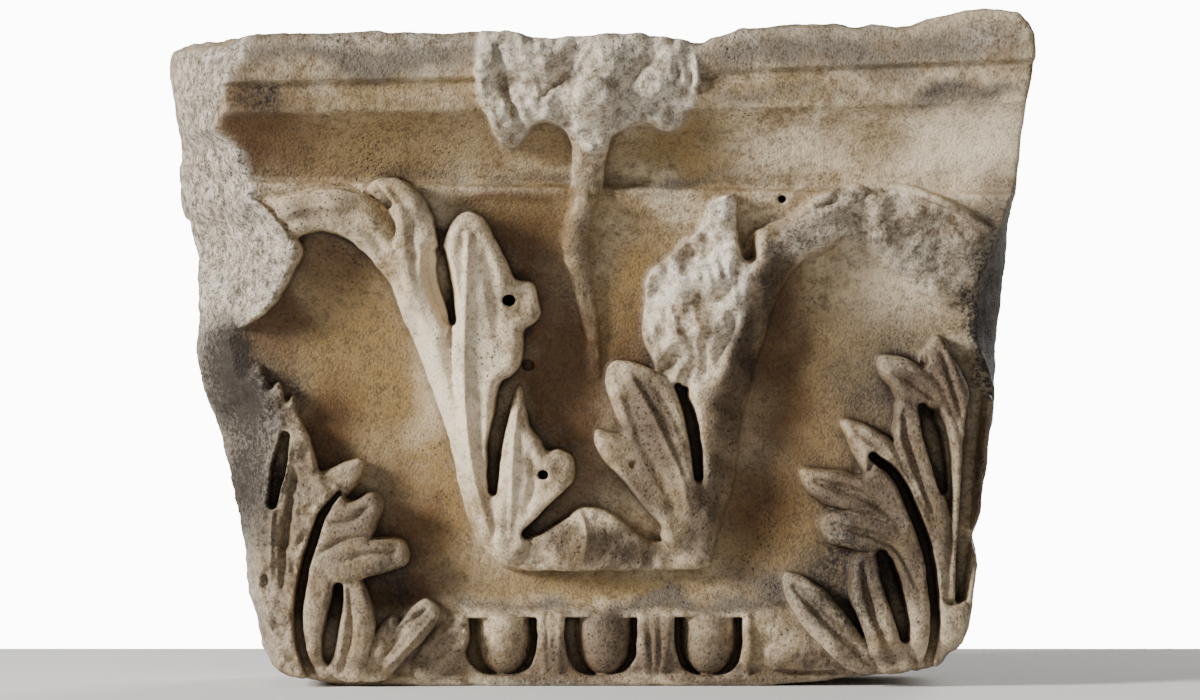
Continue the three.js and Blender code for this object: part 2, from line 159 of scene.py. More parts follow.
def sampleMap(values, x, z):
    i = np.clip((x - xs[0]) / cell, 0, len(xs) - 1.001)
    j = np.clip((z - zs[0]) / cell, 0, len(zs) - 1.001)
    i0, j0 = i.astype(int), j.astype(int)
    fu, fv = i - i0, j - j0
    low = values[i0, j0] * (1 - fu) + values[i0 + 1, j0] * fu
    high = values[i0, j0 + 1] * (1 - fu) + values[i0 + 1, j0 + 1] * fu
    return low * (1 - fv) + high * fv


def insideDistance(rim, x, z):
    # Signed distance to a closed outline, positive inside
    gap = np.full(x.shape, 1e9, np.float32)
    inside = np.zeros(x.shape, bool)
    for (ax, az), (bx, bz) in zip(rim, np.roll(rim, -1, 0)):
        runX, runZ = bx - ax, bz - az
        t = np.clip(((x - ax) * runX + (z - az) * runZ) / max(runX**2 + runZ**2, 1e-9), 0, 1)
        gap = np.minimum(gap, np.hypot(x - ax - t * runX, z - az - t * runZ))
        if az != bz:
            crosses = (az > z) != (bz > z)
            inside ^= crosses & (x < ax + (z - az) * runX / runZ)
    return np.where(inside, gap, -gap)


def alongPath(path, x, z):
    # Distance inside a tapering band along a path, and the path's other columns there
    line = splineThrough(path, 6)
    depth = np.full(x.shape, -1e9, np.float32)
    values = np.zeros(x.shape + (line.shape[1] - 2,), np.float32)
    for start, end in zip(line[:-1], line[1:]):
        run = end - start
        along = (x - start[0]) * run[0] + (z - start[1]) * run[1]
        t = np.clip(along / max(run[:2] @ run[:2], 1e-9), 0, 1)
        gap = np.hypot(x - start[0] - t * run[0], z - start[1] - t * run[1])
        inside = start[2] + t * run[2] - gap
        closer = inside > depth
        depth = np.where(closer, inside, depth)
        values[closer] = (start[2:] + t[..., None] * run[2:])[closer]
    return depth, values


# The uncarved face: mouldings pressed along the front, as [height, projection]

mouldings = {
    "profile": [[0, 9], [6, 9], [8, 6], [22, 11], [38, 13], [44, 12], [49, 6], [58, 1.5], [80, 0],
        [200, 1.5], [230, 4], [246, 6.5], [262, 10], [275, 14.5], [287, 20.5], [294, 24.5], [298, 25.8],
        [300, 25], [301.5, 17.5], [304, 17], [310, 20], [318, 23.5], [327, 28], [334, 33], [340, 38.5],
        [344.5, 43.5], [346.5, 47.5], [354, 48.5], [361.5, 47.5], [363.5, 45.5], [366, 46], [367.5, 51],
        [384, 51], [415, 48]],
    "lineSlope": [[200, 0], [299, -0.018], [347, 0.012], [366, 0.03], [415, 0.03]],
    "cornerReach": 18,  # how far the corners come forward
    "cornerCurve": 2.4,
    "cornerShare": [[0, 0], [60, 0.1], [150, 0.3], [250, 0.6], [299, 0.8], [415, 1]],
    "softness": 0.7,  # wear of the mouldings' edges
}


def pressedFace():
    slope = readOff(mouldings["lineSlope"], gridZ)
    share = readOff(mouldings["cornerShare"], gridZ)
    face = readOff(mouldings["profile"], gridZ - gridX * slope)
    face = face + mouldings["cornerReach"] * share * np.abs(gridX / halfSpan) ** mouldings["cornerCurve"]
    return blur(face, mouldings["softness"])


ground = pressedFace()


def groundAt(points):
    points = np.asarray(points, float)
    return sampleMap(ground, points[:, 0], points[:, 1])


# Outline of the stone from the front, clockwise from the top left, broken edges as they are

outline = {
    "left": [[-258, 386.6], [-263, 384], [-264, 370], [-261.6, 351], [-260.4, 339.6], [-256.8, 320.4],
        [-259.8, 309], [-258.9, 297.6], [-255.6, 287.4], [-252, 282], [-249.6, 267.6], [-247.2, 252.6],
        [-247.2, 234], [-246.2, 221.4], [-247.5, 203.4], [-245.4, 187.8], [-241.2, 173.4], [-237, 163.8],
        [-232.2, 147.6], [-228.9, 136.2], [-225, 115.2], [-221.4, 99.6], [-217.8, 81], [-217.2, 66],
        [-216, 54], [-213.3, 40.8], [-209.4, 24.6], [-203.4, 11.4], [-192.6, 7.2], [-181.8, 4.2],
        [-168, 1.2], [-151.2, 0]],
    "foot": [[-54.6, 0], [92, 0]],
    "right": [[116, 1.8], [167, 7], [191.4, 10], [199.5, 11.7], [202.5, 15], [204, 19.2], [210, 22.2],
        [214.8, 27], [217.8, 34.2], [219.6, 48.6], [221.4, 60.6], [223.2, 72], [222.6, 80.4], [220.8, 90],
        [221.4, 93.6], [225, 104.4], [226.8, 123], [229.8, 143.4], [232.8, 166.8], [234, 184.8],
        [234.4, 205.2], [235.8, 218.4], [238.2, 235.8], [239.7, 249], [241.2, 262.2], [244.2, 282.6],
        [246, 293.4], [247.8, 299.4], [249.6, 319.8], [250.2, 352.2], [252, 357.6], [254.4, 370.2],
        [255, 380.4], [253.8, 390], [250.2, 397.8], [244.8, 403.8]],
    "top": [[235.2, 407], [216.6, 405.8], [196.2, 402.9], [180.6, 398], [169.8, 396.6], [157.8, 397.8],
        [149.4, 396], [121.2, 398.8], [102.6, 396.6], [82.8, 394.8], [63, 390.3], [56.4, 387],
        [51, 386.7], [44.4, 388], [33.6, 390.4], [4.2, 392.7], [-24, 390.7], [-37.2, 388.8],
        [-43.8, 388.8], [-49.2, 390.7], [-60, 393.6], [-96.6, 392], [-146.4, 392.8], [-166.8, 391.4],
        [-208.8, 391.2], [-220.8, 389.7], [-251.4, 388.2]],
    "arris": 4.5,  # worn rounding of the edges
}
wholeOutline = np.array(outline["left"] + outline["foot"] + outline["right"] + outline["top"])
edgeDistance = insideDistance(wholeOutline, gridX, gridZ)

field = np.empty((len(xs), len(zs), len(ys)), np.float32)
field[...] = ground[:, :, None] - ds
print("uncarved face pressed")


def window(points, margin):
    points = np.asarray(points, float)
    i0, i1 = np.searchsorted(xs, [points[:, 0].min() - margin, points[:, 0].max() + margin])
    j0, j1 = np.searchsorted(zs, [points[:, 1].min() - margin, points[:, 1].max() + margin])
    return slice(i0, i1), slice(j0, j1)


def crestThrough(rises, x, z):
    # A smooth surface through a few heights, each given as [x, z, rise above the ground]
    rises = np.asarray(rises, float)
    heights = groundAt(rises) + rises[:, 2]
    weights = [1 / (np.hypot(x - px, z - pz) + 4) ** 3 for px, pz in rises[:, :2]]
    return sum(w * h for w, h in zip(weights, heights)) / sum(weights)


def addStrokes(crest, strokes, x, z):
    # Grooves (positive depth) and ridges (negative) as [x, z, half width, depth]
    for stroke in strokes:
        inside, values = alongPath(stroke, x, z)
        across = np.clip(1 - inside / np.maximum(values[..., 0], 0.3), 0, 1)
        crest = crest - values[..., 1] * (0.5 + 0.5 * np.cos(math.pi * across))
    return crest


carvingWear = {
    "edge": 0.55,  # unevenness of the edges of leaves and stalks
    "face": 0.35,  # and of their faces, where a piece gives no other
    "size": 9,
    "joint": 1.0,
    "lean": 0.06,
}


def joinTo(place, crest, edge, piece, rounding):
    # Raise a piece with its strokes, breaks and wear on the stone
    x, z = gridX[place], gridZ[place]
    crest = addStrokes(crest, piece.get("strokes", []), x, z)
    if "facet" in piece:
        spacing, tilt, seed = piece["facet"]
        crest = crest + facets(x, z, spacing, tilt, seed)
    size = carvingWear["size"]
    crest = crest + piece.get("rough", carvingWear["face"]) * roughNoise(x, z, size, 3, 5)
    edge = edge + carvingWear["edge"] * roughNoise(x, z, size, 3, 8)
    lift = crest[:, :, None] - ds
    wall = edge[:, :, None] + piece.get("lean", carvingWear["lean"]) * np.clip(lift, 0, 40)
    body = softMin(lift, wall, piece.get("rounding", rounding))
    field[place] = softMax(field[place], body, piece.get("joint", carvingWear["joint"]))


def addLobe(lobe):
    shape = splineThrough(lobe["outline"], 4, closed=True)
    place = window(shape, 9)
    x, z = gridX[place], gridZ[place]
    edge = insideDistance(shape, x, z)
    crest = crestThrough(lobe["rises"], x, z)
    shoulder = lobe.get("shoulder", 8)
    fall = np.clip(1 - edge / shoulder, 0, 1.4)
    crest = crest - lobe.get("drop", 7) * fall**2
    crest = crest - lobe.get("hollow", 0) * easeStep(shoulder * 0.7, shoulder * 2, edge)
    joinTo(place, crest, edge, lobe, 1.1)


bladeSections = {  # height of the crest from the middle (0) to the edge (1) of a blade
    "round": [[0, 1], [0.45, 0.975], [0.75, 0.89], [1, 0.7]],
    "ridge": [[0, 1], [0.25, 0.94], [0.6, 0.82], [1, 0.64]],
    "flat": [[0, 1], [0.75, 0.97], [1, 0.8]],
}


def addBlade(blade):
    path = np.array(blade["path"], float)
    heights = groundAt(path) + path[:, 3]
    line = np.column_stack([path[:, :3], heights, path[:, 3]])
    place = window(path, path[:, 2].max() + 9)
    x, z = gridX[place], gridZ[place]
    edge, values = alongPath(line, x, z)
    halfWidth, crest, rise = values[..., 0], values[..., 1], values[..., 2]
    across = np.clip(1 - edge / np.maximum(halfWidth, 0.5), 0, 1.3)
    section = bladeSections[blade.get("section", "round")]
    crest = crest - rise * (1 - readOff(section, across))
    joinTo(place, crest, edge, blade, 1.0)


def cutChannel(channel):
    path = np.array(channel["path"], float)
    line = np.column_stack([path[:, :3], groundAt(path) + path[:, 3]])
    place = window(path, path[:, 2].max() + 6)
    x, z = gridX[place], gridZ[place]
    inside, values = alongPath(line, x, z)
    inside = inside + 0.3 * roughNoise(x, z, 8, 2, 3)
    above = values[..., 1][:, :, None] - ds
    flare = channel.get("flare", 0.05) * np.clip(-above, 0, 40)
    stone = softMax(above, -inside[:, :, None] - flare, channel.get("corner", 1.4))
    field[place] = softMin(field[place], stone, channel.get("lipRadius", 1.0))


def drill(hole):
    x, z, radius, floor = hole
    cutChannel({"path": [[x - 0.3, z, radius, floor], [x + 0.3, z, radius, floor]], "flare": 0.0})


# Egg band: a round-ended pocket around each egg, and worn tongues between the pockets

eggBand = {
    "places": [[-62.5, -64, 22], [-1.5, -3.5, 22], [61.5, 61.3, 20.5]],  # egg, pocket, pocket's half width
    "halfWidth": 15.3,
    "outline": [[5.999, -0.3], [6, 0], [7, 0.3], [9, 0.52], [12.5, 0.73], [17, 0.88], [23, 0.97], [30, 1],
        [43, 0.98]],
    "reach": 16.5,
    "pocketTop": 41.5,
    "pocket": [[1, 41.5], [1, 27], [0.86, 14], [0.45, 7], [-0.45, 7], [-0.86, 14], [-1, 27], [-1, 41.5]],
    "pocketFloor": -7,
}


def carveEggs():
    for middle, pocketMiddle, pocketHalf in eggBand["places"]:
        place = window([[middle - 26, 0], [middle + 26, 48]], 4)
        x, z = gridX[place], gridZ[place]
        rim = [[pocketMiddle + pocketHalf * across, up] for across, up in eggBand["pocket"]]
        rim = splineThrough(rim, 6)
        hollow = insideDistance(rim, x, z) + 0.5 * roughNoise(x, z, 9, 2, 11)
        floor = eggBand["pocketFloor"] - ds
        stone = softMax(0 * hollow[:, :, None] + floor, -hollow[:, :, None], 5)
        field[place] = softMin(field[place], stone, 1.6)
        radius = eggBand["halfWidth"] * readOff(eggBand["outline"], z)
        radius = radius + 0.45 * roughNoise(x, z, 11, 2, 12)
        bulge = np.sqrt(np.clip(radius**2 - (x - middle) ** 2, 0, None))
        outside = np.abs(x - middle) - radius
        crest = np.where(outside < 0, bulge * eggBand["reach"] / eggBand["halfWidth"] - 2, -2 - 2 * outside)
        egg = softMin(crest[:, :, None] - ds, (eggBand["pocketTop"] + 2 - z)[:, :, None] + 0 * ds, 2)
        field[place] = softMax(field[place], egg, 0.8)


carveEggs()
tongues = [
    [[-39, 42, 2.2, 1], [-38.5, 26, 2.4, 2.5], [-37, 8, 2.2, 2]],
    [[-34, 42, 1.8, 1], [-34, 26, 1.9, 2.2], [-33.5, 8, 1.8, 1.6]],
    [[-29, 42, 2.2, 1], [-29.5, 26, 2.3, 2.5], [-30, 8, 2.2, 2]],
    [[21.5, 42, 2.4, 1], [22.5, 26, 2.5, 2.6], [24, 8, 2.2, 2]],
    [[28.5, 42, 1.7, 1], [29, 26, 1.8, 2.6], [29, 8, 1.8, 1.8]],
    [[36, 42, 2.4, 1], [35.5, 26, 2.4, 2.4], [33.5, 8, 2.2, 2]],
    [[85, 42, 2.6, 2], [85.5, 26, 2.8, 4], [84, 9, 2.6, 3]],
]
brokenLumps = [  # what is left of the next tongues, beside the corner leaves
    {"path": [[-90, 38, 6, 3], [-96, 26, 11, 7], [-108, 12, 10, 8]], "facet": [9, 0.4, 41], "rough": 1.0},
    {"path": [[103, 18, 8, 5], [118, 19, 9, 6], [136, 18, 8, 4]], "facet": [10, 0.2, 42], "rough": 0.8},
]
for path in tongues:
    addBlade({"path": path, "section": "ridge"})
for lump in brokenLumps:
    addBlade(lump)
print("egg band carved")


# Left stalk with its three leaf lobes

leftStalk = {
    "outline": [[-57.6, 70.5], [-69, 77], [-80, 92], [-88, 116], [-94, 146], [-102.6, 172], [-114, 204.6],
        [-123.6, 225], [-131.4, 245], [-143, 259], [-155, 270], [-171.6, 275], [-184, 272], [-197, 262],
        [-214, 272], [-212, 289], [-186, 297], [-162, 299.4], [-143, 294.6], [-129.6, 284.4], [-122, 268],
        [-104, 240], [-92, 210], [-78, 150], [-58, 90], [-46, 74]],
    "rises": [[-206, 278, 13], [-182, 287, 19], [-162, 290, 22], [-145, 283, 24], [-131, 266, 25],
        [-118, 242, 25], [-104, 208, 25], [-93, 180, 24], [-84, 150, 23], [-75, 110, 21], [-64, 84, 15]],
    "shoulder": 15, "drop": 8, "rounding": 2.2,
    "strokes": [[[-206, 270, 5, 2.5], [-186, 281, 6, 3.5], [-163, 284, 6, 3.5], [-146, 277, 6, 3.5],
        [-134, 261, 6, 3], [-122, 236, 5, 1.5]]],
}
lobeA = {
    "outline": [[-139, 303], [-130, 305], [-121, 303], [-112, 295], [-107, 286], [-104, 275],
        [-102.6, 262], [-104, 252], [-101, 238], [-94, 220], [-101, 206], [-114, 218], [-124, 244],
        [-127, 264], [-126, 277], [-131, 288], [-141, 298]],
    "rises": [[-131, 300, 20], [-118, 290, 26], [-113, 272, 27], [-114, 252, 27], [-106, 228, 25]],
    "shoulder": 6, "drop": 3.5,
    "strokes": [[[-128, 299, 3, 1.5], [-118, 284, 5, 3], [-116, 262, 5, 3], [-112, 240, 4, 1.5]]],
}
lobeB = {
    "outline": [[-84.6, 285.5], [-92, 280], [-96.5, 269], [-98, 255.6], [-96, 240], [-93.5, 226],
        [-93, 200], [-91, 170], [-88, 140], [-80, 100], [-66, 76], [-52, 76], [-56, 95], [-66, 118],
        [-69, 150], [-66, 181], [-58, 188], [-52.8, 195], [-51, 207.6], [-50, 215], [-42, 222],
        [-41, 232], [-45, 243], [-55.8, 245], [-62.4, 259], [-72, 278], [-78, 284]],
    "rises": [[-85, 280, 22], [-82, 262, 26], [-78, 240, 27], [-74, 215, 27], [-76, 186, 26],
        [-80, 150, 25], [-72, 105, 22], [-60, 82, 15], [-47, 233, 19]],
    "shoulder": 6, "drop": 3, "hollow": 2,
    "strokes": [[[-83, 272, 3.5, -3], [-84, 245, 3.5, -3.4], [-85, 210, 3.5, -3.2], [-85, 172, 3.2, -3],
        [-80, 130, 3, -2.5], [-70, 92, 3, -1.5]], [[-73, 262, 4, 2], [-68, 235, 6, 2.5],
        [-66, 212, 5, 2]], [[-76, 176, 4, 1.5], [-76, 140, 5, 2.5], [-68, 104, 4, 1.5]]],
}
lobeC = {
    "outline": [[-53, 181], [-50, 170], [-47, 157], [-41.4, 149], [-37, 141], [-29, 142], [-21, 138],
        [-19.5, 130], [-22.5, 121], [-30, 110], [-38, 104], [-46, 97], [-48, 84], [-58, 76], [-68, 84],
        [-68, 104], [-66, 119], [-64, 135], [-61, 155], [-57, 170]],
    "rises": [[-53, 176, 18], [-55, 158, 24], [-52, 140, 26], [-52, 118, 25], [-56, 96, 21],
        [-35, 128, 25], [-25, 131, 22]],
    "shoulder": 6, "drop": 3.5, "hollow": 1.5,
    "strokes": [[[-54, 166, 3, -2], [-56, 145, 3, -2.4], [-57, 118, 3, -2.2], [-58, 92, 3, -1.4]],
        [[-46, 140, 4, 2], [-44, 122, 5, 2.4], [-49, 104, 4, 1.5]]],
}
rootMound = {
    "outline": [[-58, 71], [-64, 78], [-56, 86], [-47, 89], [-37, 93], [-26, 100], [-16, 107.5],
        [-6, 107], [3, 104], [12, 97], [22, 88.5], [34, 87], [46, 88], [60, 86], [64, 78], [57, 71],
        [20, 70], [-20, 70]],
    "rises": [[-16, 104, 22], [-2, 102, 21], [-28, 95, 21], [-12, 90, 24], [-12, 76, 18], [-42, 82, 17],
        [14, 92, 17], [28, 80, 14], [50, 79, 13], [-54, 78, 13]],
    "shoulder": 5, "drop": 3, "facet": [16, 0.2, 44], "rough": 0.8,
    "strokes": [[[-16, 105, 2.5, -2], [-12, 92, 3, -3], [-14, 78, 3, -1]]],
}
for lobe in (rootMound, leftStalk, lobeA, lobeB, lobeC):
    addLobe(lobe)


# Right stalk, its lobe, the break above it and the horn that runs to the corner

lobeD = {
    "outline": [[4.8, 196], [-0.5, 189], [1, 178], [6, 163], [9.6, 153], [2, 153], [-6.6, 154.5],
        [-7, 147], [-1.2, 136], [12.6, 115], [29.4, 101], [33, 90.6], [40, 80], [57, 72], [64, 84],
        [60, 104], [54, 124], [49, 150], [41, 179], [30, 189], [17, 195]],
    "rises": [[6, 192, 18], [16, 182, 24], [26, 165, 27], [34, 146, 27], [40, 124, 26], [46, 98, 21],
        [54, 82, 14], [4, 148, 19], [-3, 151, 15]],
    "shoulder": 6, "drop": 3.5, "hollow": 2,
    "strokes": [[[11, 190, 3, -1.5], [16, 183, 3.5, -3], [25, 168, 3.5, -3.4], [34, 150, 3.5, -3.2],
        [44, 128, 3, -2.6], [50, 104, 3, -1.5]], [[12, 172, 4, 2], [20, 152, 6, 2.8], [30, 130, 5, 2.5],
        [40, 108, 4, 1.5]], [[26, 184, 3, 1.5], [38, 168, 4, 2.4], [45, 150, 3, 1.5]]],
}
rightStalk = {
    "outline": [[50, 71.5], [60, 77], [66.6, 93.6], [75.6, 121], [81.6, 160], [90.6, 197], [100, 228],
        [109, 247], [121, 260], [137, 269], [146, 276], [136, 286], [118, 284], [98, 276], [86, 258],
        [80, 226], [72, 205], [62, 186], [50, 180], [54, 150], [56, 124], [52, 100], [44, 82]],
    "rises": [[54, 80, 13], [57, 104, 21], [58, 130, 25], [60, 160, 26], [64, 184, 27], [70, 205, 27],
        [76, 220, 27], [88, 243, 26], [96, 258, 24], [112, 271, 20], [132, 277, 15], [72, 108, 9],
        [77, 140, 10], [83, 170, 10], [90, 198, 10], [98, 224, 10], [107, 246, 10]],
    "shoulder": 6, "drop": 4, "lean": 0.12,
}
whiteBreak = {
    "outline": [[25, 248], [36, 258], [47, 268], [57, 277], [60, 284], [62, 291], [69, 295], [77, 294],
        [78, 278], [81.6, 262], [87.6, 254], [85, 238], [81.6, 222], [76, 212], [70, 198], [63, 184],
        [48, 181], [35, 184], [27, 198], [22, 213], [23, 230]],
    "rises": [[32, 190, 19], [50, 188, 25], [66, 200, 26], [29, 215, 12], [46, 212, 22], [64, 218, 26],
        [31, 238, 11], [46, 238, 20], [58, 244, 25], [76, 236, 27], [46, 262, 14], [60, 268, 22],
        [74, 268, 25], [70, 288, 15]],
    "shoulder": 2, "drop": 1.5, "facet": [26, 0.42, 24], "rough": 0.4, "joint": 2.5,
    "strokes": [[[60, 284, 3, 1], [60, 262, 6, 2], [56, 240, 6, 2.5], [44, 222, 4, 1]]],
}
hornScar = {
    "outline": [[96, 262], [104, 274], [118, 284], [130, 295], [150, 300], [180, 298], [206, 289],
        [229, 276], [240, 262], [236, 244], [214, 232], [192, 238], [172, 252], [154, 266], [138, 268],
        [118, 260]],
    "rises": [[110, 268, 16], [136, 285, 9], [160, 292, 6], [188, 288, 5], [215, 274, 5], [152, 274, 7],
        [180, 266, 4.5], [206, 250, 3], [228, 252, 2]],
    "shoulder": 13, "drop": 5, "facet": [15, 0.16, 33], "rough": 1.1, "joint": 5, "lean": 0.6,
}
hornRim = [
    {"path": [[88, 257, 6, 23], [93, 266, 8, 24], [100, 270, 8, 22], [112, 274, 9, 19], [124, 283, 9, 15],
        [137, 291, 7, 11], [150, 297, 5, 8]], "rough": 1.0, "facet": [9, 0.25, 34]},
    {"path": [[116, 283, 3.5, 15], [130, 294, 3.2, 12.5], [150, 300.5, 3, 11], [178, 299, 2.8, 10],
        [205, 289.5, 2.6, 9], [229, 275, 2.2, 6]], "rough": 0.5},
]
for lobe in (hornScar, rightStalk, lobeD, whiteBreak):
    addLobe(lobe)
for blade in hornRim:
    addBlade(blade)
print("stalks raised")


# Flower stump on the abacus and the stem below it

flowerStump = {
    "outline": [[-77.5, 366], [-77, 384], [-72, 402], [-30, 404], [10, 404], [44, 402], [52, 388],
        [56, 372], [55, 356], [49, 346], [43, 336], [34, 334], [24, 338], [12, 336], [2, 330], [-2, 322],
        [-12, 320], [-20, 328], [-27, 336], [-36, 339], [-44, 337], [-49, 331], [-54, 325], [-61, 325],
        [-66, 330], [-70, 340], [-76, 350]],
    "rises": [[-75, 372, 12], [-60, 362, 9], [-44, 374, 13], [-20, 360, 11], [0, 374, 12], [26, 360, 9],
        [48, 366, 6], [-60, 338, 16], [-56, 328, 13], [-42, 348, 10], [-10, 330, 15], [30, 342, 8],
        [-60, 392, 7], [0, 394, 8], [40, 390, 5], [16, 340, 6], [40, 340, 4]],
    "shoulder": 4, "drop": 3, "facet": [21, 0.26, 51], "rough": 1.2, "rounding": 1.2,
    "strokes": [[[-66, 384, 3, 2], [-62, 362, 4.5, 4.5], [-55, 344, 4, 4], [-50, 336, 3, 2]],
        [[-40, 352, 3, 2], [-24, 368, 4, 4], [-12, 386, 3, 2]], [[6, 344, 3, 2], [14, 362, 4, 3.5],
        [30, 378, 3, 2]], [[46, 384, 3, 2.5], [50, 368, 4, 3.5], [47, 350, 3, 2]]],
}
stem = {
    "path": [[-8, 352, 13, 20], [-10, 332, 11, 19], [-11, 316, 10, 16], [-12, 302, 9.5, 14],
        [-14, 290, 6.5, 12], [-18, 276, 7, 10.5], [-19, 262, 7.5, 9.5], [-15, 246, 6, 8],
        [-11, 226, 5, 6], [-8, 206, 4, 4], [-7, 188, 2.5, 1.5]],
    "rough": 1.0, "joint": 3,
}
addLobe(flowerStump)
addBlade(stem)
print("flower stump raised")


# Stump of the left volute, which the break at the corner cuts through

voluteStump = {
    "outline": [[-212, 293], [-200, 285], [-190, 273], [-183, 263], [-189, 250], [-198, 234], [-210, 222],
        [-232, 214], [-256, 222], [-262, 262], [-262, 300], [-236, 303]],
    "rises": [[-205, 280, 20], [-192, 264, 21], [-200, 245, 20], [-225, 235, 16], [-235, 285, 20]],
    "shoulder": 4, "drop": 3, "facet": [14, 0.25, 36], "rough": 1.2,
}
addLobe(voluteStump)


# Left corner leaf, its top and outer side broken

leftLeaf = {
    "brokenMass": {
        "outline": [[-211, 193], [-217, 186], [-222, 183], [-232, 182], [-240, 168], [-230, 130],
            [-223, 100], [-219, 66], [-215, 40], [-208, 14], [-192, 4], [-177, 4], [-183, 20], [-186, 36],
            [-185, 52], [-181, 70], [-176, 89], [-171, 103], [-163, 115], [-162, 122], [-172, 128],
            [-175, 132], [-178, 146], [-185.5, 163], [-189, 176], [-193, 172], [-197, 184], [-203, 180],
            [-206, 190]],
        "rises": [[-210, 186, 9], [-194, 170, 12], [-184, 145, 19], [-178, 122, 22], [-184, 95, 24],
            [-190, 60, 22], [-192, 25, 15], [-208, 60, 17], [-212, 110, 18], [-214, 150, 15],
            [-204, 20, 12]],
        "shoulder": 3, "drop": 3, "rough": 2.0, "facet": [13, 0.26, 63],
        "strokes": [[[-188, 128, 3.5, 4], [-191, 104, 4.5, 7], [-194, 80, 4, 6.5], [-195.5, 60, 2.5, 3]],
            [[-213, 132, 2.5, 2.5], [-211, 108, 3, 4], [-209.5, 84, 2.5, 2.5]], [[-189, 147, 2, -2],
            [-195, 122, 2.2, -3], [-201, 104, 2.2, -3], [-202, 66, 2, -2]]],
    },
    "shadedTip": {
        "outline": [[-173, 126], [-163, 133], [-150, 137], [-147.5, 132], [-151, 122], [-157, 115],
            [-166, 114]],
        "rises": [[-168, 122, 18], [-156, 128, 16], [-150, 133, 14]],
    },
    "upperLobe": {
        "outline": [[-162, 115], [-156, 111.5], [-150, 112], [-142, 116], [-136.5, 112], [-136, 106],
            [-139, 98], [-143, 89], [-152, 78], [-167, 70], [-179, 74], [-175, 89], [-170, 103]],
        "rises": [[-158, 108, 27], [-142, 110, 25], [-150, 96, 27], [-168, 84, 26]],
        "strokes": [[[-166, 98, 3, 1.5], [-154, 100, 4, 3], [-144, 108, 3, 2]], [[-174, 80, 2.5, 1.5],
            [-160, 88, 3, 3.5], [-144, 91, 2.5, 2]]],
    },
    "finger": {
        "outline": [[-152, 90], [-142, 89], [-130, 89.5], [-122, 87], [-119.5, 80], [-122, 73.5],
            [-137, 68.5], [-156, 62.5], [-168, 60], [-179, 60], [-179, 74], [-166, 84]],
        "rises": [[-124, 80, 24], [-140, 79, 27], [-160, 73, 27], [-174, 66, 25]],
        "strokes": [[[-170, 74, 3, 1.5], [-150, 79, 4, 3.5], [-128, 81, 3, 2]]],
    },
    "ribbon": {
        "outline": [[-179, 76], [-168, 72], [-165, 60], [-167.5, 48], [-171, 33], [-171, 18], [-165, 10],
            [-172, 4], [-177, 12], [-181, 30], [-182.5, 50], [-181, 68]],
        "rises": [[-174, 68, 25], [-175, 45, 23], [-176, 25, 19], [-172, 10, 13]],
    },
    "groovedLobe": {
        "outline": [[-160, 61], [-155, 65.5], [-148, 64], [-143, 53], [-139.5, 38], [-143, 22], [-148, 4],
            [-161, 4], [-168, 11], [-164.5, 19], [-161, 34], [-158.5, 50]],
        "rises": [[-152, 60, 24], [-149, 40, 22], [-154, 20, 18], [-157, 8, 13]],
        "strokes": [[[-155, 59, 2.5, 2], [-153, 42, 4.5, 5], [-156, 22, 4, 4], [-160, 10, 2.5, 2]]],
    },
    "twinInner": {
        "outline": [[-147, 4], [-142, 22], [-136, 37], [-130, 43], [-126, 42], [-126, 36], [-131, 24],
            [-136, 12], [-139, 4]],
        "rises": [[-130, 38, 12], [-136, 25, 14], [-143, 8, 12]],
    },
    "twinOuter": {
        "outline": [[-143, 4], [-137, 18], [-129, 32], [-122, 42], [-111, 52], [-103, 50], [-100.5, 43],
            [-107, 33], [-117, 22], [-128, 10], [-134, 4]],
        "rises": [[-106, 46, 12], [-118, 34, 15], [-130, 18, 14], [-138, 8, 12]],
        "strokes": [[[-132, 12, 2, -2], [-118, 27, 2.4, -3.5], [-104, 42, 2, -2]], [[-134, 20, 3, 2],
            [-122, 36, 3.5, 3.5], [-109, 47, 2.5, 2]]],
    },
}

# Right corner leaf: three tiers of lobes around drilled eyes, on a body behind them

